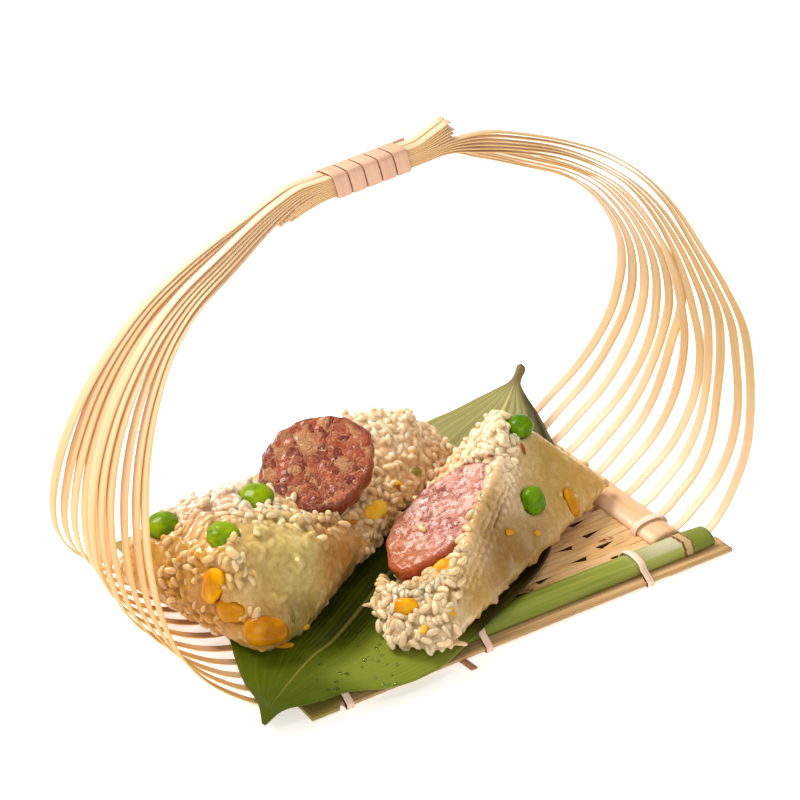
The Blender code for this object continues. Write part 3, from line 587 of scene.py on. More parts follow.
# The crossing strands are a very dark brown: their own brown darkened by painted shade, for the slits they show
# through.
shaded_under = bamboo("woven_under_shaded", (104, 64, 26), (58, 32, 10), 0.5, 0.6)
finished(joined(crossing), "woven_cross_strands", "woven_mat", shaded_under, "mat")
bpy.ops.object.shade_flat()
print(len(seams) - 1, "strands,", len(mat.data.polygons), "faces")

# %% [markdown]
# A flat slat lies along the front and the back, bound to the cane by ties of split cane. The front one's edge
# has notches, the deepest near its left end. The ties, and the loose dried end of one, keep their packed
# shape; a Bevel modifier takes off their sharp edges, since a peeled tie is soft.

# %% The slats and the ties
def copied(name, bevel=0.0):
    """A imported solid's mesh as an object of its own, merged and, if asked, with its edges rounded."""
    mesh = bpy.data.meshes.new(name)
    bm = welded(name)
    bmesh.ops.dissolve_limit(bm, angle_limit=np.radians(1), verts=bm.verts, edges=bm.edges)
    bm.to_mesh(mesh)
    bm.free()
    obj = bpy.data.objects.new(name, mesh)
    bpy.context.scene.collection.objects.link(obj)
    if bevel:
        modifier(obj, "BEVEL", width=bevel * MM, segments=2, limit_method="ANGLE", angle_limit=np.radians(40))
    choose(obj)
    bpy.ops.object.shade_smooth_by_angle(angle=np.radians(45))
    return obj


def slat(y0, y1, x0, x1, notches=()):
    """A flat slat, a little hollow across, with notches in its front edge: place along it, half width and
    depth."""
    x = np.linspace(x0, x1, 121)[:, None]
    share = np.array([0, 0.03, 0.3, 0.7, 0.97, 1.0])
    bites = [deep * np.clip(1 - abs(x - at) / half, 0, 1) ** 0.5 for at, half, deep in notches]
    front = y0 + np.max([0 * x, *bites], axis=0) + 0.05 * np.sin(x * 1.7)
    y = front + (y1 - front) * share
    over = MAT_HIGH - 0.12 - 0.1 * (1 - abs(2 * share - 1)) - 0.12 * ((share < 0.01) | (share > 0.99))
    upper, lower = (np.stack(np.broadcast_arrays(x, y, z), 2) for z in (over, MAT_LOW + 0.02))
    return rolled(np.concatenate([upper, lower[:, ::-1]], 1) * MM)


wood = fibrous("slat", 0.5, (18, 900, 900), (178, 140, 92), (214, 178, 130), 0.04, detail=4, relief=(0.2, 0.5))
broad = wood.streaks((16, 200, 90), 2, 0.5)
wood.over(wood.band(broad, 0.42, 0.66, 0, 0.7), (152, 118, 66))
wood.over(wood.both(wood.band(wood.axes()["X"], -0.052, -0.06), wood.band(broad, 0.3, 0.5)), (150, 132, 62))
NOTCHES = (-56.9, 1.0, 2.2), (-12.4, 0.5, 0.7), (51, 3, 0.4)
finished(slat(-47.0, MAT_FRONT - 0.3, -67.0, 77.0, NOTCHES), "front_slat", "slat", wood, "slat_front")
finished(slat(MAT_BACK + 0.3, 54.4, -72.0, 70.0), "back_slat", "slat", wood, "slat_back")

peel = fibrous("tie", 0.42, (700, 60, 90), (226, 190, 160), (248, 222, 204), 0.06, relief=(0.15, 0.4))
for name in [n for n in nodes if n.startswith("tie_") and n != "tie_tail"]:
    finished(copied(name, 0.16), f"cane_{name}", "binding", peel, name)
brown = fibrous("brown_tie", 0.55, (700, 90, 90), (150, 96, 66), (196, 146, 112), relief=None)
finished(copied("tie_tail", 0.12), "cane_tie_tail", "dried_tie", brown, "tie_tail")
print("slats and ties")

# %% [markdown]
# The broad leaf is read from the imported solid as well: its points fall on stations across the leaf, eight
# over eight under. A smooth surface is run through those stations, with soft ribs raised where the real leaf
# is ribbed towards its stem. The map's across value follows the leaf's width, so the veins drawn along it
# meet at the tip, as they do on the real leaf.

# %% The leaf
LEAF_TIP, LEAF_TURN = Vector((-80.5, -45.0)), np.radians(31.8)
ALONG = np.array((np.cos(LEAF_TURN), np.sin(LEAF_TURN)))
ASIDE = np.array((-np.sin(LEAF_TURN), np.cos(LEAF_TURN)))


def leaf_stations():
    """Each station's place along the leaf, and its eight (aside, under, over) triples from right to left, in
    mm."""
    bm = welded("leaf")
    p = np.array([v.co for v in bm.verts]) / MM
    bm.free()
    along, aside = (p[:, :2] - LEAF_TIP) @ ALONG, (p[:, :2] - LEAF_TIP) @ ASIDE
    out = {}
    for u in np.unique(np.round(along, 1)):
        here = np.where(abs(along - u) < 0.12)[0]
        here = here[np.argsort(aside[here], kind="stable")].reshape(-1, 2)
        out[u] = [(aside[pair].mean(), *sorted(p[pair, 2])) for pair in here]
    return np.array(list(out)), np.array(list(out.values()))


stations, rows = leaf_stations()
KNOWN = np.array((-1, -0.8, -0.5, -0.06, 0.06, 0.5, 0.8, 1))  # where the eight lie across the leaf
RIBS = 5
share = np.linspace(-1, 1, 101)
along = np.linspace(stations[0], stations[-1], 170)
fine = through(along, stations, rows)
sections = []
for u, row in zip(along, fine):
    aside, under, over = (np.interp(share, KNOWN, row[:, i]) for i in range(3))
    rib = np.clip((u - 96) / 30, 0, 1) * np.clip((168 - u) / 12, 0, 1)
    lift = 0.26 * rib * np.cos(abs(share) * RIBS * 2 * np.pi + u / 30)
    groove = -0.2 * np.exp(-(share * 26) ** 2) * np.clip((160 - u) / 12, 0, 1)
    for z in (under, over):
        z[1:-1] = (z[:-2] + 2 * z[1:-1] + z[2:]) / 4
        z += lift + groove
    xy = np.array(LEAF_TIP) + u * ALONG + aside[:, None] * ASIDE
    sections.append(np.vstack([np.column_stack([xy, over]), np.column_stack([xy, under])[::-1]]))
leaf_mesh = rolled(np.array(sections) * MM)

leafy = Finish("bamboo_leaf", 0.34, (44, 54, 0), Specular_IOR_Level=0.09)
u_of, v_of, _ = leafy.axes(leafy.place(mapped=True))
u_of = leafy.both(u_of, 1 / MM)
side = leafy.math("SUBTRACT", leafy.both(leafy.math("PINGPONG", v_of, 0.5), 4.04), 1.0)
width = leafy.math("ABSOLUTE", side)
veins = leafy.math("SINE", leafy.both(width, 150.0))
ribs = leafy.math("COSINE", leafy.both(width, RIBS * 2 * np.pi))
streaks = leafy.streaks((18, 42, 1), 4, 0.65, True)
leafy.over(leafy.band(leafy.noise(leafy.place(), 38, 3, 0.6), 0.35, 0.7), (66, 80, 2))
leafy.over(leafy.band(streaks, 0.45, 0.75, 0, 0.6), (88, 98, 10))
leafy.over(leafy.band(veins, 0.2, 1.0, 0, 0.1), (120, 128, 40))
# Painted reflection: past 100 mm along, the leaf turns pale grey-green, as the white room's sheen shows on it,
# with darker stripes between the ribs.
leafy.over(leafy.band(u_of, 100, 135, 0, 0.85), (166, 160, 106))
leafy.over(leafy.both(leafy.band(ribs, 0.2, -1.0, 0, 0.35), leafy.band(u_of, 105, 130)), (96, 98, 44))
leafy.over(leafy.band(u_of, 50, 10, 0, 0.4), (104, 122, 22))
shaded = leafy.both(leafy.band(side, -0.35, -0.85), leafy.band(u_of, 50, 66))
leafy.over(leafy.both(shaded, 0.9), (46, 34, 3))
lit = leafy.both(leafy.band(side, -0.1, -0.6), leafy.both(leafy.band(u_of, 16, 28), leafy.band(u_of, 62, 46)))
leafy.over(leafy.both(lit, 0.6), (146, 156, 56))
leafy.over(leafy.band(width, 0.024, 0.006, 0, 0.55), (150, 140, 66))
leafy.over(leafy.both(leafy.band(width, 0.05, 0.015, 0, 0.8), leafy.band(u_of, 100, 125)), (206, 184, 122))
leafy.over(leafy.band(leafy.streaks((160, 90, 1), 2, 0.5, True), 0.68, 0.74, 0, 0.5), (108, 84, 30))
leafy.over(leafy.band(u_of, 170, 178), (122, 104, 64))
leafy.feed(leafy.shader.inputs["Roughness"], leafy.band(streaks, 0.3, 0.7, 0.24, 0.4))
leafy.bump(veins, 0.1, 0.22)
leafy.bump(streaks, 0.3, 0.5)
leaf = finished(leaf_mesh, "zongzi_leaf", "bamboo_leaf", leafy, "leaf")
print("the leaf has", len(leaf.data.polygons), "faces")

# %% [markdown]
# Rice is built in layers. Under it is a soft core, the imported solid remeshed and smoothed. Over it lie the
# grains: a few bent and tapered grains are modelled once from a sphere, and copies of them are scattered on
# the core, each copy real mesh. Where the wrapper pressed the rice, the grains are sunk and flattened, so
# only faint outlines show; where the dumpling was torn, they stand out and lie every way.
#
# To find out where a photo shows a thing, a ray is cast from the camera through that place in the frame onto
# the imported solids.

# %% Look through the camera
def solid_tree(*names):
    points, faces = [], []
    for name in names:
        bm = welded(name)
        bm.verts.ensure_lookup_table()
        faces += [[v.index + len(points) for v in f.verts] for f in bm.faces]
        points += [v.co.copy() for v in bm.verts]
        bm.free()
    return BVHTree.FromPolygons(points, faces)


FOCAL = LENS_MM / SENSOR_MM * FRAME_PIXELS
FOOD = [n for n in nodes if n.startswith(("rice", "sausage", "pea", "corn"))]
RICE = solid_tree("rice_left", "rice_right")
ALL_FOOD = solid_tree(*FOOD, "leaf")


def seen(x, y, tree=RICE):
    """Where the ray through the frame's (x, y) meets the solids, and the surface's normal there."""
    way = right * (x - FRAME_PIXELS / 2) + above * (FRAME_PIXELS / 2 - y) - back * FOCAL
    place, normal, _, _ = tree.ray_cast(CAMERA_AT, way.normalized())
    return place, normal


# The rice's colours, each around one place: x and y in the frame, reach in mm, colour. Besides the rice's own
# colour they hold painted light and shade: nearly white on the lit torn tops, darker on the near ends and the
# sides underneath.
LIT_TINTS = (
    (398, 434, 17, (236, 210, 174)),   # left: the torn top, nearly white
    (400, 490, 13, (208, 164, 106)),   # left: below it, warmer
    (435, 470, 9, (188, 138, 82)),
    (208, 494, 13, (230, 210, 192)),   # left: the pale slope behind the peas
    (180, 556, 15, (187, 139, 34)),    # left: the near end
    (198, 616, 12, (180, 123, 12)),
    (250, 565, 11, (200, 168, 98)),   # left: the steamed face
    (286, 560, 12, (200, 184, 112)),   # left: the greenish window in it
    (342, 550, 9, (178, 130, 62)),     # left: its far corner
    (302, 614, 6, (126, 104, 30)),     # left: the olive fold
    (255, 632, 10, (190, 144, 58)),
    (503, 430, 12, (244, 224, 188)),   # right: the torn top
    (545, 455, 15, (174, 146, 66)),    # right: the steamed face
    (492, 490, 10, (238, 212, 178)),   # right: the rolled edge beside the sausage
    (466, 552, 8, (222, 190, 138)),
    (510, 552, 14, (144, 104, 24)),    # right: the side underneath
    (465, 588, 8, (190, 146, 62)),
    (591, 486, 12, (200, 160, 80)),    # right: the tip
    (412, 622, 14, (194, 170, 132)),   # right: the loose end
    (452, 600, 7, (226, 200, 158)),
)
PLAIN_RICE = (206, 170, 112)


def lit_rice_colours(points):
    """The rice's colour at each point, with painted light and shade in it, blended from the tints by nearness."""
    weight = np.full(len(points), 0.12)
    total = weight[:, None] * np.array(linear(*PLAIN_RICE)[:3])
    for x, y, reach, colour in LIT_TINTS:
        place, _ = seen(x, y)
        if place is None:
            continue
        near = np.exp(-((np.linalg.norm(points - np.array(place), axis=1) / (reach * MM)) ** 2) * 1.4)
        weight += near
        total += near[:, None] * np.array(linear(*colour)[:3])
    return total / weight[:, None]


print("the nearest rice to the frame's middle:", [round(c / MM) for c in seen(400, 500)[0]])

# %% A grain, modelled once in a few shapes
SEED = 11
GRAIN_HALF = (1.2, 1.3, 2.45)


def grain_shapes(count=7):
    """Bent, tapered and slightly dented grains, long way along Z, as arrays of points, and their faces."""
    shapes = []
    rng = np.random.default_rng(SEED)
    for _ in range(count):
        bpy.ops.mesh.primitive_ico_sphere_add(subdivisions=2, radius=1)
        obj = bpy.context.object
        bpy.ops.transform.resize(value=GRAIN_HALF)
        bpy.ops.object.transform_apply(location=False, rotation=False)
        p = np.array([v.co for v in obj.data.vertices])
        faces = np.array([tuple(f.vertices) for f in obj.data.polygons])
        bend, taper, dent = rng.uniform(-0.09, 0.09), rng.uniform(-0.1, 0.1), rng.uniform(0, 0.14)
        p[:, 2] = np.sign(p[:, 2]) * GRAIN_HALF[2] * (abs(p[:, 2]) / GRAIN_HALF[2]) ** 0.86
        p[:, :2] *= 1 + taper * p[:, 2:] / GRAIN_HALF[2]
        p[:, 0] += bend * p[:, 2] ** 2
        p[:, 1] -= dent * np.exp(-(p[:, 0] ** 2 + (p[:, 2] - 1) ** 2) / 2) * np.sign(p[:, 1])
        shapes.append(p)
        bpy.data.objects.remove(obj)
    return shapes, faces


GRAINS, GRAIN_FACES = grain_shapes()
print(len(GRAINS), "grains of", len(GRAIN_FACES), "faces")

# %% [markdown]
# The imported solid is remeshed with small voxels and smoothed, which rounds off its facets, and drawn in a
# little as the core. The grains are laid on it and the two are remeshed together, so that they fuse as sticky
# rice does: sunk where leaves pressed it, standing out where it was torn. Loose grains then go on top of the
# torn places, because remeshing softens every edge. Each point also gets a tone: painted shade, darker and
# warmer down between grains, and painted light, paler on the ridges.

# %% The rice's fused bodies and loose grains
def marks(*places):
    """Places on the rice, each from x and y in the frame and its reach in mm, as x, y, z and reach in mm."""
    return [(*place / MM, reach) for x, y, reach in places if (place := seen(x, y)[0])]


def within(p, some_marks):
    """True for points in mm that lie within reach of a mark."""
    shares = [np.exp(-((np.linalg.norm(p - mark[:3], axis=1) / mark[3]) ** 2)) for mark in some_marks]
    return np.max(shares, axis=0) > 0.4


LEFT_MARKS = marks((205, 492, 9), (228, 500, 8), (250, 508, 6), (268, 512, 5), (286, 516, 4.5),
                   (305, 520, 4.5), (324, 522, 4.5), (342, 522, 4.5), (178, 520, 5), (182, 566, 6),
                   (168, 592, 5), (190, 614, 4), (222, 556, 5), (232, 566, 4), (240, 578, 3.5),
                   (208, 622, 4), (238, 645, 4), (254, 620, 2.5))
RIGHT_MARKS = marks((512, 402, 6), (500, 414, 7), (490, 430, 7), (482, 446, 6), (506, 440, 5), (504, 458, 4),
                    (500, 474, 4), (492, 490, 4), (484, 506, 4), (475, 522, 4), (466, 540, 4), (458, 558, 4),
                    (450, 575, 4), (440, 594, 6), (424, 600, 7), (405, 600, 7), (390, 588, 7), (384, 565, 6),
                    (390, 612, 8), (405, 630, 8), (424, 642, 8), (438, 626, 6))


def loose_left(p, n):
    """True where the left zongzi was torn open, for arrays of points in mm and normals."""
    return ((p[:, 0] > -22) & (p[:, 2] > 6)) | ((n[:, 1] > 0.3) & (p[:, 2] > 12)) | within(p, LEFT_MARKS)


def loose_right(p, n):
    """The same for the right zongzi: its top, the edge beside the sausage, its near end and its hidden
    back."""
    return within(p, RIGHT_MARKS) | ((n @ (-0.3, 0.95, 0) > 0.5) & (p[:, 2] > 9))


def noise_at(points, scale, start=0.0):
    """Noise from -1 to 1 at each point, as a column."""
    return np.array([noise.noise(Vector(q * scale + start)) for q in points])[:, None]


def coloured(mesh, colours, name="tint"):
    layer = mesh.color_attributes.new(name, "FLOAT_COLOR", "POINT")
    layer.data.foreach_set("color", np.column_stack([colours, np.ones(len(colours))]).reshape(-1))


def arrays(mesh, *fields):
    out = []
    for field in fields:
        values = np.empty(len(mesh.vertices) * 3)
        mesh.vertices.foreach_get(field, values)
        out.append(values.reshape(-1, 3))
    return out


def shift(mesh, points):
    mesh.vertices.foreach_set("co", np.ascontiguousarray(points).reshape(-1))
    mesh.update()


def rice_core(name, is_loose):
    """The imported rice, smooth and slightly lumpy, drawn in further where grains will stand out."""
    obj = copied(name)
    modifier(obj, "REMESH", mode="VOXEL", voxel_size=0.85 * MM)
    modifier(obj, "SMOOTH", factor=0.5, iterations=6)
    p, n = arrays(obj.data, "co", "normal")
    torn = is_loose(p / MM, n)[:, None]
    relief = noise_at(p, 420) * np.where(torn, 0.3, 0.1) - np.where(torn, 0.6, 0.15)
    shift(obj.data, p + n * np.where(p[:, 2:] < 5.5 * MM, 0, relief) * MM)
    return obj


def scattered(obj, spacing, rng, keep, tries=60000):
    """Points at least spacing apart on an object's faces, thrown at random by area, with their normals, where
    keep(points in mm, normals) is true."""
    mesh = obj.data
    mesh.calc_loop_triangles()
    p, = arrays(mesh, "co")
    corners = p[np.array([t.vertices for t in mesh.loop_triangles])]
    cross = np.cross(corners[:, 1] - corners[:, 0], corners[:, 2] - corners[:, 0])
    area = np.linalg.norm(cross, axis=1)
    picks = rng.choice(len(corners), size=tries, p=area / area.sum())
    a, b = rng.random((2, tries))
    flip = a + b > 1
    a, b = np.where(flip, 1 - a, a)[:, None], np.where(flip, 1 - b, b)[:, None]
    spots = corners[picks, 0] * (1 - a - b) + a * corners[picks, 1] + b * corners[picks, 2]
    normals = cross[picks] / area[picks][:, None]
    wanted = keep(spots / MM, normals)
    taken, out = {}, []
    for p, n in zip(spots[wanted], normals[wanted]):
        cell = tuple((p // spacing).astype(int))
        near = [q for dx in (-1, 0, 1) for dy in (-1, 0, 1) for dz in (-1, 0, 1)
                for q in taken.get((cell[0] + dx, cell[1] + dy, cell[2] + dz), ())]
        if any(((p - q) ** 2).sum() < spacing ** 2 for q in near):
            continue
        taken.setdefault(cell, []).append(p)
        out.append((p, n))
    return out


def laid(shape, p, n, rng, tilt, flat, lift, size, way=None):
    """A grain's points, laid on the surface at p with normal n, heading along way or, without it,
    anywhere."""
    n = Vector(n)
    way = n.cross(Vector(rng.normal(size=3)) if way is None else way.cross(n)).normalized()
    way = (way + n * rng.uniform(-tilt, tilt)).normalized()
    side = n.cross(way).normalized()
    up = way.cross(side)
    local = shape * size
    local[:, 1] *= flat
    return p + (local @ np.array([side, up, way]) + np.array(n) * lift) * MM


def mesh_object(name, points, faces):
    mesh = bpy.data.meshes.new(name)
    mesh.from_pydata(points, [], faces)
    mesh.update()
    obj = bpy.data.objects.new(name, mesh)
    bpy.context.scene.collection.objects.link(obj)
    choose(obj)
    bpy.ops.object.shade_smooth()
    return obj


def grains_on(obj, rng, kinds, blocked, extra=()):
    """One object of grains on obj; each kind says its spacing, where it lies, and its tilt, flatness, lift
    and size."""
    grains = list(extra)
    for spacing, keep, tilt, flat, lift, size in kinds:
        for p, n in scattered(obj, spacing * MM, rng, keep):
            if blocked.find_nearest(p)[3] > CLEAR_OF_OTHERS:
                shape = GRAINS[rng.integers(len(GRAINS))]
                grains.append(laid(shape, p, n, rng, tilt, flat, rng.uniform(*lift), rng.uniform(*size)))
    each = len(GRAINS[0])
    faces = (GRAIN_FACES[None] + np.arange(len(grains))[:, None, None] * each).reshape(-1, 3)
    return mesh_object("grains", np.concatenate(grains), faces), len(grains)


CLEAR_OF_OTHERS = 0.35 * MM
# Painted shade darkens and warms the hollows between grains; painted light pales the ridges.
HOLLOW_DEPTH, HOLLOW_SHADE, RIDGE_LIGHT = 0.19 * MM, np.array((0.62, 0.46, 0.2)), np.array((1.14, 1.18, 1.34))


def toned(obj):
    """Gives a body its tint: the rice's colour, with painted shade, darker and warmer, in the hollows that more
    smoothing would fill, and painted light, paler, on the ridges."""
    p, n = arrays(obj.data, "co", "normal")
    smoother = obj.copy()
    smoother.data = obj.data.copy()
    bpy.context.scene.collection.objects.link(smoother)
    modifier(smoother, "SMOOTH", factor=0.5, iterations=14)
    q, = arrays(smoother.data, "co")
    bpy.data.objects.remove(smoother)
    depth = ((q - p) * n).sum(1) / HOLLOW_DEPTH
    low, high = np.clip(depth, 0, 1)[:, None], np.clip(-depth, 0, 1)[:, None]
    tone = (1 - low) + low * HOLLOW_SHADE
    coloured(obj.data, np.clip(lit_rice_colours(p) * tone * (1 + (RIDGE_LIGHT - 1) * high), 0, 0.96))


def rice_finish(name, rough, strength, outlines):
    """Glossy, translucent rice in the carried tint. Outlines is how clearly pressed grains show in it, by painted
    shade in the seams between them and by relief.
    """
    made = moist(name, rough, 0.8, 2.2, (1.0, 0.92, 0.8), 0.65, 0.06, 0.1)
    where = made.place()
    cloud = made.noise(where, 170, 3)
    edge = made.edges(made.warped(where, 230, 1, 0.004), 360)
    made.colour(made.read("tint", "Color"))
    made.over(made.band(cloud, 0.45, 0.75, 0, 0.16), (240, 224, 190))
    made.over(made.band(cloud, 0.5, 0.3, 0, 0.12), (180, 132, 58))
    # Painted shade in the seams between pressed grains.
    made.over(made.band(edge, 0.16, 0.0, 0, outlines), (226, 206, 160), "MULTIPLY")
    made.bump(made.noise(where, 900, 3), 0.15, strength)
    made.bump(made.band(edge, 0.0, 0.25), 0.18, outlines)
    return made


def along_path(path, count):
    """A number of places spread from end to end of a path in the frame."""
    at = np.linspace(0, len(path) - 1, count)
    return np.stack([np.interp(at, range(len(path)), axis) for axis in zip(*path)], 1)


def edge_grains(path, count, rng, size):
    """Grains that stand side by side along a path in the frame, overlapping what they lean on."""
    grains = []
    for x, y in along_path(path, count):
        place, normal = seen(x + rng.uniform(-1.5, 1.5), y + rng.uniform(-2, 2), ALL_FOOD)
        if place:
            way = above + right * rng.uniform(-0.9, 0.9)
            grains.append(laid(GRAINS[rng.integers(len(GRAINS))], np.array(place), normal, rng, 0.35, 1.0,
                               rng.uniform(0, 0.5), size * rng.uniform(0.85, 1.1), way))
    return grains


def lip(path, count, reach, rows, apart):
    """Balls along a path in the frame, in rows side by side, which swell the fused rice over what it
    holds."""
    balls = []
    for x, y in along_path(path, count):
        for row in range(rows):
            place, normal = seen(x + row * apart, y + row * apart * 0.3, ALL_FOOD)
            if place:
                radius = reach * MM * (1 - 0.12 * row) * (0.9 + 0.05 * (len(balls) * 7 % 5))
                bpy.ops.mesh.primitive_ico_sphere_add(subdivisions=3, radius=radius,
                                                      location=place - normal * row * 0.3 * MM)
                balls.append(bpy.context.object)
                bpy.ops.object.transform_apply(location=True, rotation=False, scale=False)
    return balls


EDGES = {  # paths and numbers of grains, as the frame shows them
    "left": (((262, 509), (285, 511), (310, 516), (332, 515), (352, 512)), 17),
    "right": (((466, 540), (457, 556), (446, 578), (430, 588), (412, 594), (392, 590)), 19)}
LIPS = {  # path, number of balls along it, their radius in mm, rows and their distance apart in the frame
    "left": (((264, 513), (285, 516), (310, 520), (332, 520), (352, 516)), 16, 1.5, 1, 0),
    "right": (((499, 462), (490, 487), (476, 521), (463, 553), (451, 580)), 20, 2.1, 4, 7)}
SINGLE = {  # grains by themselves: place in the frame and size
    "left": (((256, 618), 1.15), ((262, 621), 1.05), ((233, 556), 1.1), ((241, 560), 1.0), ((236, 566), 0.9),
             ((294, 499), 0.9)),
    "right": (((423, 529), 0.7), ((404, 594), 1.0), ((396, 606), 1.0))}
PALE_GRAIN, BRIGHTEST = np.array(linear(244, 218, 184)[:3]), 0.96
body_finish = rice_finish("rice_body", 0.3, 0.14, 0.3)
grain_finish = rice_finish("rice_grains", 0.24, 0.1, 0.0)
inset = solid_tree(*[n for n in FOOD if not n.startswith("rice")])
for name, is_loose, seed, size, sunk, apart, lift, voxel in (
        ("left", loose_left, 3, 0.88, (-0.4, -0.12), 3.0, (-0.85, -0.1), 0.5),
        ("right", loose_right, 5, 0.9, (-0.48, -0.25), 2.8, (-0.55, 0.15), 0.46)):
    rng = np.random.default_rng(seed)
    core = rice_core(f"rice_{name}", is_loose)
    torn = lambda p, n: is_loose(p, n) & (p[:, 2] > 4.5)
    pressed = lambda p, n: ~is_loose(p, n) & (p[:, 2] > 5)
    stuck, count = grains_on(core, rng, ((2.4, torn, 0.5, 1.0, (-0.7, 0.3), (size - 0.1, size + 0.06)),
                                         (2.8, pressed, 0.05, 0.45, sunk, (0.85, 1.0))), inset)
    body = joined([core, stuck, *lip(*LIPS[name])])
    modifier(body, "REMESH", mode="VOXEL", voxel_size=voxel * MM)
    modifier(body, "SMOOTH", factor=0.5, iterations=2)
    toned(body)
    bpy.ops.object.shade_smooth()
    extra = edge_grains(*EDGES[name], rng, size)
    extra += [grain for at, much in SINGLE[name] for grain in edge_grains([at], 1, rng, much)]
    kinds = ((apart, torn, 0.45, 1.0, lift, (size - 0.14, size + 0.04)),)
    grains, loose_count = grains_on(body, rng, kinds, inset, extra)
    tone = rng.normal(1.04, 0.08, loose_count)
    pale = np.where(np.arange(loose_count) < len(extra), 0.4, 0.3)
    tone, pale = (np.repeat(value, len(GRAINS[0]))[:, None] for value in (tone, pale))
    p, = arrays(grains.data, "co")
    coloured(grains.data, np.clip((lit_rice_colours(p) * (1 - pale) + PALE_GRAIN * pale) * tone, 0, BRIGHTEST))
    finished(body, f"{name}_rice", "sticky_rice", body_finish, f"rice_{name}")
    finished(grains, f"{name}_loose_grains", "sticky_rice", grain_finish, f"rice_{name}")
    print(f"{name} rice: {count} fused grains, {len(body.data.polygons)} faces; {loose_count} loose grains")

# %% [markdown]
# The sausage is cured pork, sliced on the slant: coarse red meat with cream fat in it, and a darker rim where
# the casing was. A packed slice is remeshed finely and smoothed, its faces are roughened with noise as a knife
# leaves them, and each point is told how near the rim it is.

# %% The sausage slices
def slice_of(name, centre, normal, long_way, halves, seed, ragged, grow):
    """A packed slice with a torn, lumpy face; ragged and grow say how far its outline strays and swells, in
    mm."""
    obj = copied(name)
    modifier(obj, "REMESH", mode="VOXEL", voxel_size=0.5 * MM)
    modifier(obj, "SMOOTH", factor=0.5, iterations=4)
    p, n = arrays(obj.data, "co", "normal")
    centre, normal, long_way = np.array(centre) * MM, np.array(normal), np.array(long_way)
    long_way = long_way - normal * (long_way @ normal)
    long_way /= np.linalg.norm(long_way)
    off = p - centre
    out = np.hypot(off @ long_way / halves[0] / MM, off @ np.cross(normal, long_way) / halves[1] / MM)
    crumb = np.array([noise.turbulence(Vector(q * 230 + seed), 4, False) - 0.6 for q in p])[:, None]
    pits, waves, nicks = (noise_at(p, scale, seed) for scale in (420, 110, 260))
    sideways = (off - np.outer(off @ normal, normal)) / np.maximum(np.linalg.norm(off, axis=1), 1e-6)[:, None]
    on_face = abs(n @ normal)[:, None] > 0.7
    p += n * np.where(on_face, 0.5 * crumb + 0.35 * pits + 0.5 * waves, 0.3 * crumb) * MM
    p += sideways * (ragged * (waves + 0.7 * nicks) + grow) * np.clip((out - 0.7) / 0.3, 0, 1)[:, None] * MM
    shift(obj.data, p)
    layer = obj.data.attributes.new("rim", "FLOAT", "POINT")
    layer.data.foreach_set("value", np.clip(out, 0, 1.2))
    choose(obj)
    bpy.ops.object.shade_smooth()
    return obj


def meat(name, lean, deep, fat, rim, seed, tree, patches=(), brown=None):
    """Cured meat: lumps of lean, each of its own depth, fat between and in them, and a darker rim. Patches
    are larger pieces of fat, as x and y in the frame and reach in mm; brown is where in X, in metres, the
    slice turns browner, and its colour."""
    made = moist(name, 0.3, 0.15, 1, (1.0, 0.4, 0.3), 0.35, 0.12, 0.2, deep)
    place = made.place()
    where = made.mapping(place, Location=(seed, seed * 0.7, 0))
    bent_place = made.warped(where, 320, 3, 0.006)
    lump, seam = made.axes(made.cells(bent_place, 290, "Color")), made.edges(bent_place, 290)
    bent, grain = made.noise(where, 240, 5, 0.65, 1.2), made.noise(where, 760, 4, 0.7, 0.6)
    streak = made.noise(made.mapping(where, Scale=(1.0, 2.4, 1.0)), 150, 3, 0.6, 1)
    made.over(made.band(lump["X"], 0.1, 0.9), lean)
    made.over(made.band(bent, 0.42, 0.62, 0, 0.6), lean)
    made.over(made.band(streak, 0.52, 0.6, 0, 0.6), made.mix(0.5, lean, fat))
    made.over(made.both(made.both(made.band(seam, 0.09, 0.0), made.band(bent, 0.4, 0.55)), 0.8), fat)
    made.over(made.band(lump["Y"], 0.84, 0.9, 0, 0.75), fat)
    for x, y, reach in patches:
        at = tuple(seen(x, y, tree)[0])
        off = made.add("ShaderNodeVectorMath", {0: place, 1: at}, operation="DISTANCE")
        off = made.math("ADD", off.outputs["Value"], made.sway(bent, 0.008))
        made.over(made.band(off, reach * MM, reach * 0.75 * MM, 0, 0.85), fat)
    made.over(made.band(grain, 0.56, 0.64, 0, 0.55), fat)
    made.over(made.band(grain, 0.44, 0.35, 0, 0.75), [c * 0.6 for c in deep])
    if brown:
        start, end, tone = brown
        turned = made.band(made.math("ADD", made.axes(place)["X"], made.sway(bent, 0.03)), start, end)
        made.over(made.both(turned, 0.7), tone)
    edge = made.math("ADD", made.read("rim"), made.sway(bent, 0.3))
    made.over(made.band(edge, 0.86, 1.0, 0, 0.85), rim)
    made.bump(grain, 0.6, 0.6)
    made.bump(bent, 1.0, 0.5)
    made.bump(made.band(seam, 0.0, 0.15), 0.4, 0.6)
    return made


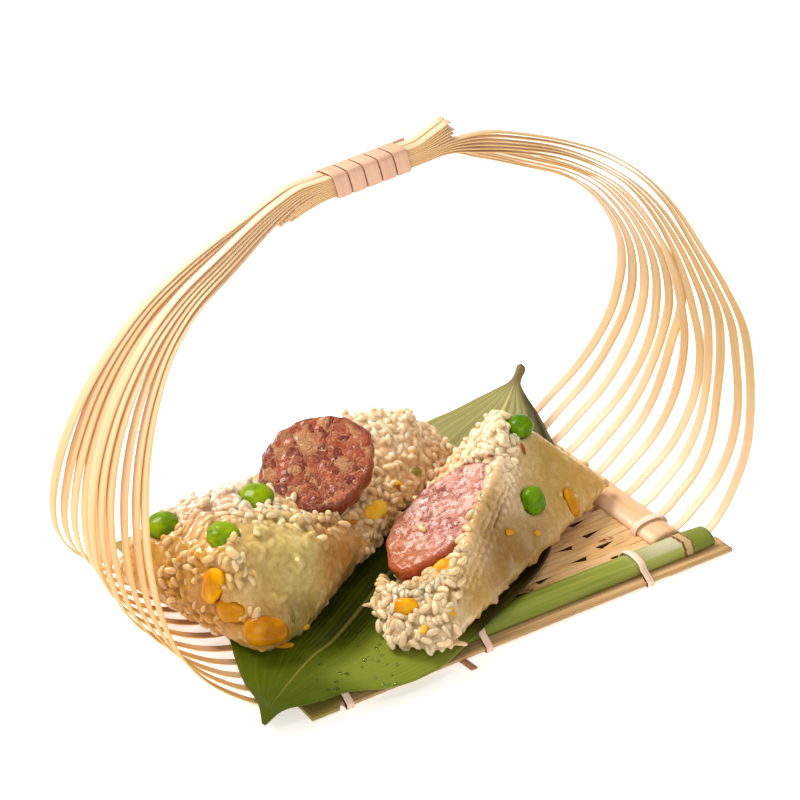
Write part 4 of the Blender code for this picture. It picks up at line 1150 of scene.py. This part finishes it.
LEFT_SLICE = ((-26.7, 15.4, 32.0), (-0.306, -0.451, 0.839), (0.948, -0.061, 0.313), (16.8, 14.6),
              2.0, 1.7, 0.65)  # both as slice_of takes them, lengths in mm
RIGHT_SLICE = ((-1.8, -13.1, 20.5), (-0.438, 0.044, 0.898), (0.892, 0.151, 0.427), (21.5, 12.5),
               5.0, 1.0, -0.1)
LARGE_FAT = ((309, 444, 3.4), (343, 464, 2.8), (294, 470, 1.6), (322, 420, 1.8))
left_meat = meat("cured_sausage", (162, 75, 43), (106, 33, 16), (188, 134, 92), (122, 45, 20), 0.3,
                 solid_tree("sausage_left"), LARGE_FAT)
right_meat = meat("cured_sausage_lit", (196, 130, 112), (140, 62, 46), (222, 184, 170), (170, 72, 30), 1.1,
                  solid_tree("sausage_right"), brown=(-0.006, -0.018, (184, 104, 48)))
for side, measures, finish in (("left", LEFT_SLICE, left_meat), ("right", RIGHT_SLICE, right_meat)):
    name = f"sausage_{side}"
    finished(slice_of(name, *measures), f"{side}_sausage_slice", "sausage", finish, name)
print("two slices")

# %% [markdown]
# Peas start as spheres from the Add menu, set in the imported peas' places, a little flattened and dimpled; the
# third is wrinkled because its skin came loose in the steam. A kernel is a sphere too, squared a little,
# narrowed to its root and dimpled at its crown; where each lies is written down as its middle, the way it
# faces and its long way.

# %% Peas and corn
UP_SLOPE, FRONT = (-0.1, -0.1, 1.0), (0.37, -0.77, 0.53)
PEAS = (  # how wrinkled, how thick once pressed, how many mm sunk, and the way it faces
    (0.3, 0.78, 0.4, UP_SLOPE), (0.35, 0.74, 0.5, UP_SLOPE), (0.9, 0.76, 0.5, UP_SLOPE),
    (0.2, 0.8, 0.3, UP_SLOPE), (0.7, 0.85, 0.5, FRONT))
KERNELS = {  # centre, outward way, long way, length and width in mm
    "corn_1": ((-73.4, -7.6, 23.0), (-0.92, -0.37, 0.14), (-0.24, 0.18, -0.95), 11.6, 6.4),
    "corn_2": ((-66.0, -22.6, 14.6), (-0.37, -0.79, 0.48), (0.83, -0.56, 0), 12, 8),
    "corn_3": ((-70.9, -12.8, 17), (-0.9, -0.39, 0.15), (0.5, -0.6, 0.1), 9.5, 6.5),
    "corn_4": ((-24.3, 5.2, 20), (0.06, -0.3, 0.95), (0.83, -0.56, 0.05), 8.5, 5),
    "corn_5": ((-12.3, 6.7, 17), (0, -0.8, 0.6), (0.8, -0.3, 0.5), 8.6, 6.4),
    "corn_6": ((-15.1, -30.5, 17.9), (-0.6, -0.5, 0.6), (0.3, -0.1, 0.9), 9.5, 6.4),
    "corn_7": ((-29.6, -35, 15.6), (-0.5, -0.6, 0.6), (0.6, -0.6, 0.3), 6.5, 5),
    "corn_8": ((42, -15, 12.7), (0.37, -0.77, 0.53), (0.1, 0.2, 0.97), 9, 4.6)}


def pea(name, index, wrinkle, press, sink, faces):
    """A pea pressed into the rice: flatter along the way it faces, wider across, and sunk by some mm."""
    low, high = (np.array(corner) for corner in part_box(name))
    out = np.array(Vector(faces).normalized())
    bpy.ops.mesh.primitive_uv_sphere_add(segments=40, ring_count=24, radius=1)
    obj = bpy.context.object
    obj.data.transform(Matrix.Rotation(0.7 + index, 4, Vector((1, 0.4, 0.2)).normalized()))
    p, = arrays(obj.data, "co")
    folds = 0.035 * noise_at(p, 2.2, np.array((index * 3, 0, 0)))
    folds += wrinkle * (abs(noise_at(p, 3.1, np.array((index, 4, 0)))) - 0.25) * 0.22
    p *= (1 + folds) * (high - low) / 2
    outward = np.outer(p @ out, out)
    p = (p - outward) * (1 + (1 - press) * 0.35) + outward * press - out * sink * MM
    shift(obj.data, (low + high) / 2 + p)
    choose(obj)
    bpy.ops.object.shade_smooth()
    return obj


def pea_green(name, shaded_under, light):
    made = moist(name, 0.26, 0.15, 1, (0.4, 1.0, 0.2), 0.14, 0.1, 0.08, shaded_under)
    made.over(made.band(made.noise(made.place(), 240, 3), 0.35, 0.7), light)
    made.bump(made.noise(made.place(), 1400, 2), 0.1, 0.35)
    return made


def kernel(name, seed):
    """A sphere pulled into a kernel: a broad domed crown, a narrower root and a slight dimple."""
    centre, out, long_way, length, width = KERNELS[name]
    out, long_way = Vector(out).normalized(), Vector(long_way)
    long_way = (long_way - out * long_way.dot(out)).normalized()
    bpy.ops.mesh.primitive_uv_sphere_add(segments=32, ring_count=20, radius=1)
    obj = bpy.context.object
    p, = arrays(obj.data, "co")
    p = np.sign(p) * abs(p) ** 0.86
    p[:, 0] *= (1 - 0.16 * p[:, 2]) * (1 - 0.1 * np.exp(-((p[:, 2] - 0.1) / 0.3) ** 2) * (seed % 2))
    p[:, 1] -= 0.22 * np.exp(-(p[:, 0] ** 2 + (p[:, 2] - 0.45) ** 2) * 5) * (p[:, 1] > 0)
    p *= (1 + 0.05 * noise_at(p, 1.4, seed)) * (width / 2, width * 0.36, length / 2)
    shift(obj.data, (centre + p @ np.array([long_way.cross(out), out, long_way])) * MM)
    bpy.ops.object.shade_smooth()
    return obj


def corn(name, deep, bright):
    made = moist(name, 0.25, 0.3, 1.5, (1.0, 0.6, 0.1), 0.2, 0.1, 0.08, deep)
    made.over(made.band(made.noise(made.place(), 220, 3), 0.36, 0.66), bright)
    made.bump(made.noise(made.place(), 700, 2), 0.2, 0.3)
    return made


# The first three peas take the lit copy of the green, the last two a darker copy: painted light and painted
# shade.
lit_pea = pea_green("green_pea", (94, 128, 0), (134, 158, 2))
shaded_pea = pea_green("green_pea_shaded", (74, 114, 0), (102, 142, 2))
for i, name in enumerate(sorted(n for n in nodes if n.startswith("pea"))):
    finished(pea(name, i, *PEAS[i]), f"green_{name}", "green_pea", lit_pea if i < 3 else shaded_pea, name)

bright_corn = corn("sweetcorn", (204, 132, 0), (234, 174, 4))
deep_corn = corn("sweetcorn_deep", (172, 106, 0), (206, 140, 4))
# corn_5 takes a paler copy of the same yellow: painted light.
lit_corn = corn("sweetcorn_lit", (234, 172, 26), (246, 196, 62))
corn_under = corn("sweetcorn_under_rice", (190, 124, 0), (208, 146, 16))
OTHERS = {"corn_2": deep_corn, "corn_3": corn_under, "corn_5": lit_corn, "corn_8": corn_under}
for name in KERNELS:
    finished(kernel(name, int(name[-1])), f"sweet{name}", "sweetcorn", OTHERS.get(name, bright_corn), name)
print("peas and corn")

# %% [markdown]
# Torn food leaves crumbs: scraps of corn skin, browned shreds of meat and a sliver of leaf stick to the rice,
# and steam has left drops of water on the leaf. Each crumb is a small sphere pressed out of shape and laid
# where a ray through its place in the frame meets the food; the drops are low domes with the clear finish of
# water.

# %% Crumbs and drops
CRUMBS = (  # name, slot, two colours, then x and y in the frame and half sizes in mm: across, up and outwards
    ("corn_scraps", "sweetcorn", (206, 140, 10), (236, 178, 40), (
        (509, 532, 1.6, 1.1, 0.4), (537, 533, 1.2, 0.9, 0.4), (452, 612, 0.9, 1.4, 0.4),
        (424, 630, 1.0, 1.6, 0.6), (343, 518, 2.2, 0.8, 0.6), (306, 627, 1.4, 1.0, 0.5),
        (284, 646, 2.8, 1.1, 0.6), (276, 512, 1.3, 0.7, 0.5), (398, 484, 1.2, 0.9, 0.4))),
    ("brown_shreds", "sausage", (110, 44, 8), (168, 84, 30), (
        (523, 449, 0.5, 1.9, 0.45), (491, 456, 1.6, 0.5, 0.45), (398, 487, 0.5, 1.2, 0.4))),
    ("leaf_slivers", "bamboo_leaf", (104, 92, 24), (150, 142, 60), (
        (293, 616, 0.35, 2.2, 0.25), (417, 471, 1.6, 1.1, 0.35))))
LEAF = solid_tree("leaf")
DROP_TRIES, DROP_HALF = 46, (0.28, 0.75)


def dome(x, y, sizes, tree, rng, sunk=0.2):
    """A small sphere on what the frame shows at x and y, squashed to sizes, and uneven unless sunk is
    nothing."""
    place, normal = seen(x, y, tree)
    out = normal.normalized()
    up = (above - out * above.dot(out)).normalized()
    bpy.ops.mesh.primitive_ico_sphere_add(subdivisions=3, radius=1)
    obj = bpy.context.object
    p, = arrays(obj.data, "co")
    p *= (1 + 0.3 * noise_at(p, 1.3, rng.uniform(0, 9, 3)) * (sunk > 0)) * sizes
    shift(obj.data, np.array(place) + (p @ np.array([up.cross(out), up, out]) + np.array(out) * sunk) * MM)
    bpy.ops.object.shade_smooth()
    return obj


rng = np.random.default_rng(SEED)
for name, slot, deep, bright, crumbs in CRUMBS:
    made = joined([dome(x, y, sizes, ALL_FOOD, rng) for x, y, *sizes in crumbs])
    finished(made, name, slot, corn(name, deep, bright))

water = Finish("water", 0.05, (250, 252, 240), Transmission_Weight=1.0, IOR=1.33, Specular_IOR_Level=0.5)
water.bump(water.noise(water.place(), 300, 1), 0.02, 0.2)
drops = []
for _ in range(DROP_TRIES):
    x, y = rng.uniform(315, 400), rng.uniform(628, 690)
    first_met, on_leaf = seen(x, y, ALL_FOOD)[0], seen(x, y, LEAF)[0]
    if y > 640 - (x - 340) * 0.75 and first_met and on_leaf and (first_met - on_leaf).length < MERGE:
        radius = rng.uniform(*DROP_HALF)
        drops.append(dome(x, y, (radius, radius, radius * 0.5), LEAF, rng, 0.0))
finished(joined(drops), "water_drops", "bamboo_leaf", water)
print(len(CRUMBS), "kinds of crumb and", len(drops), "drops")
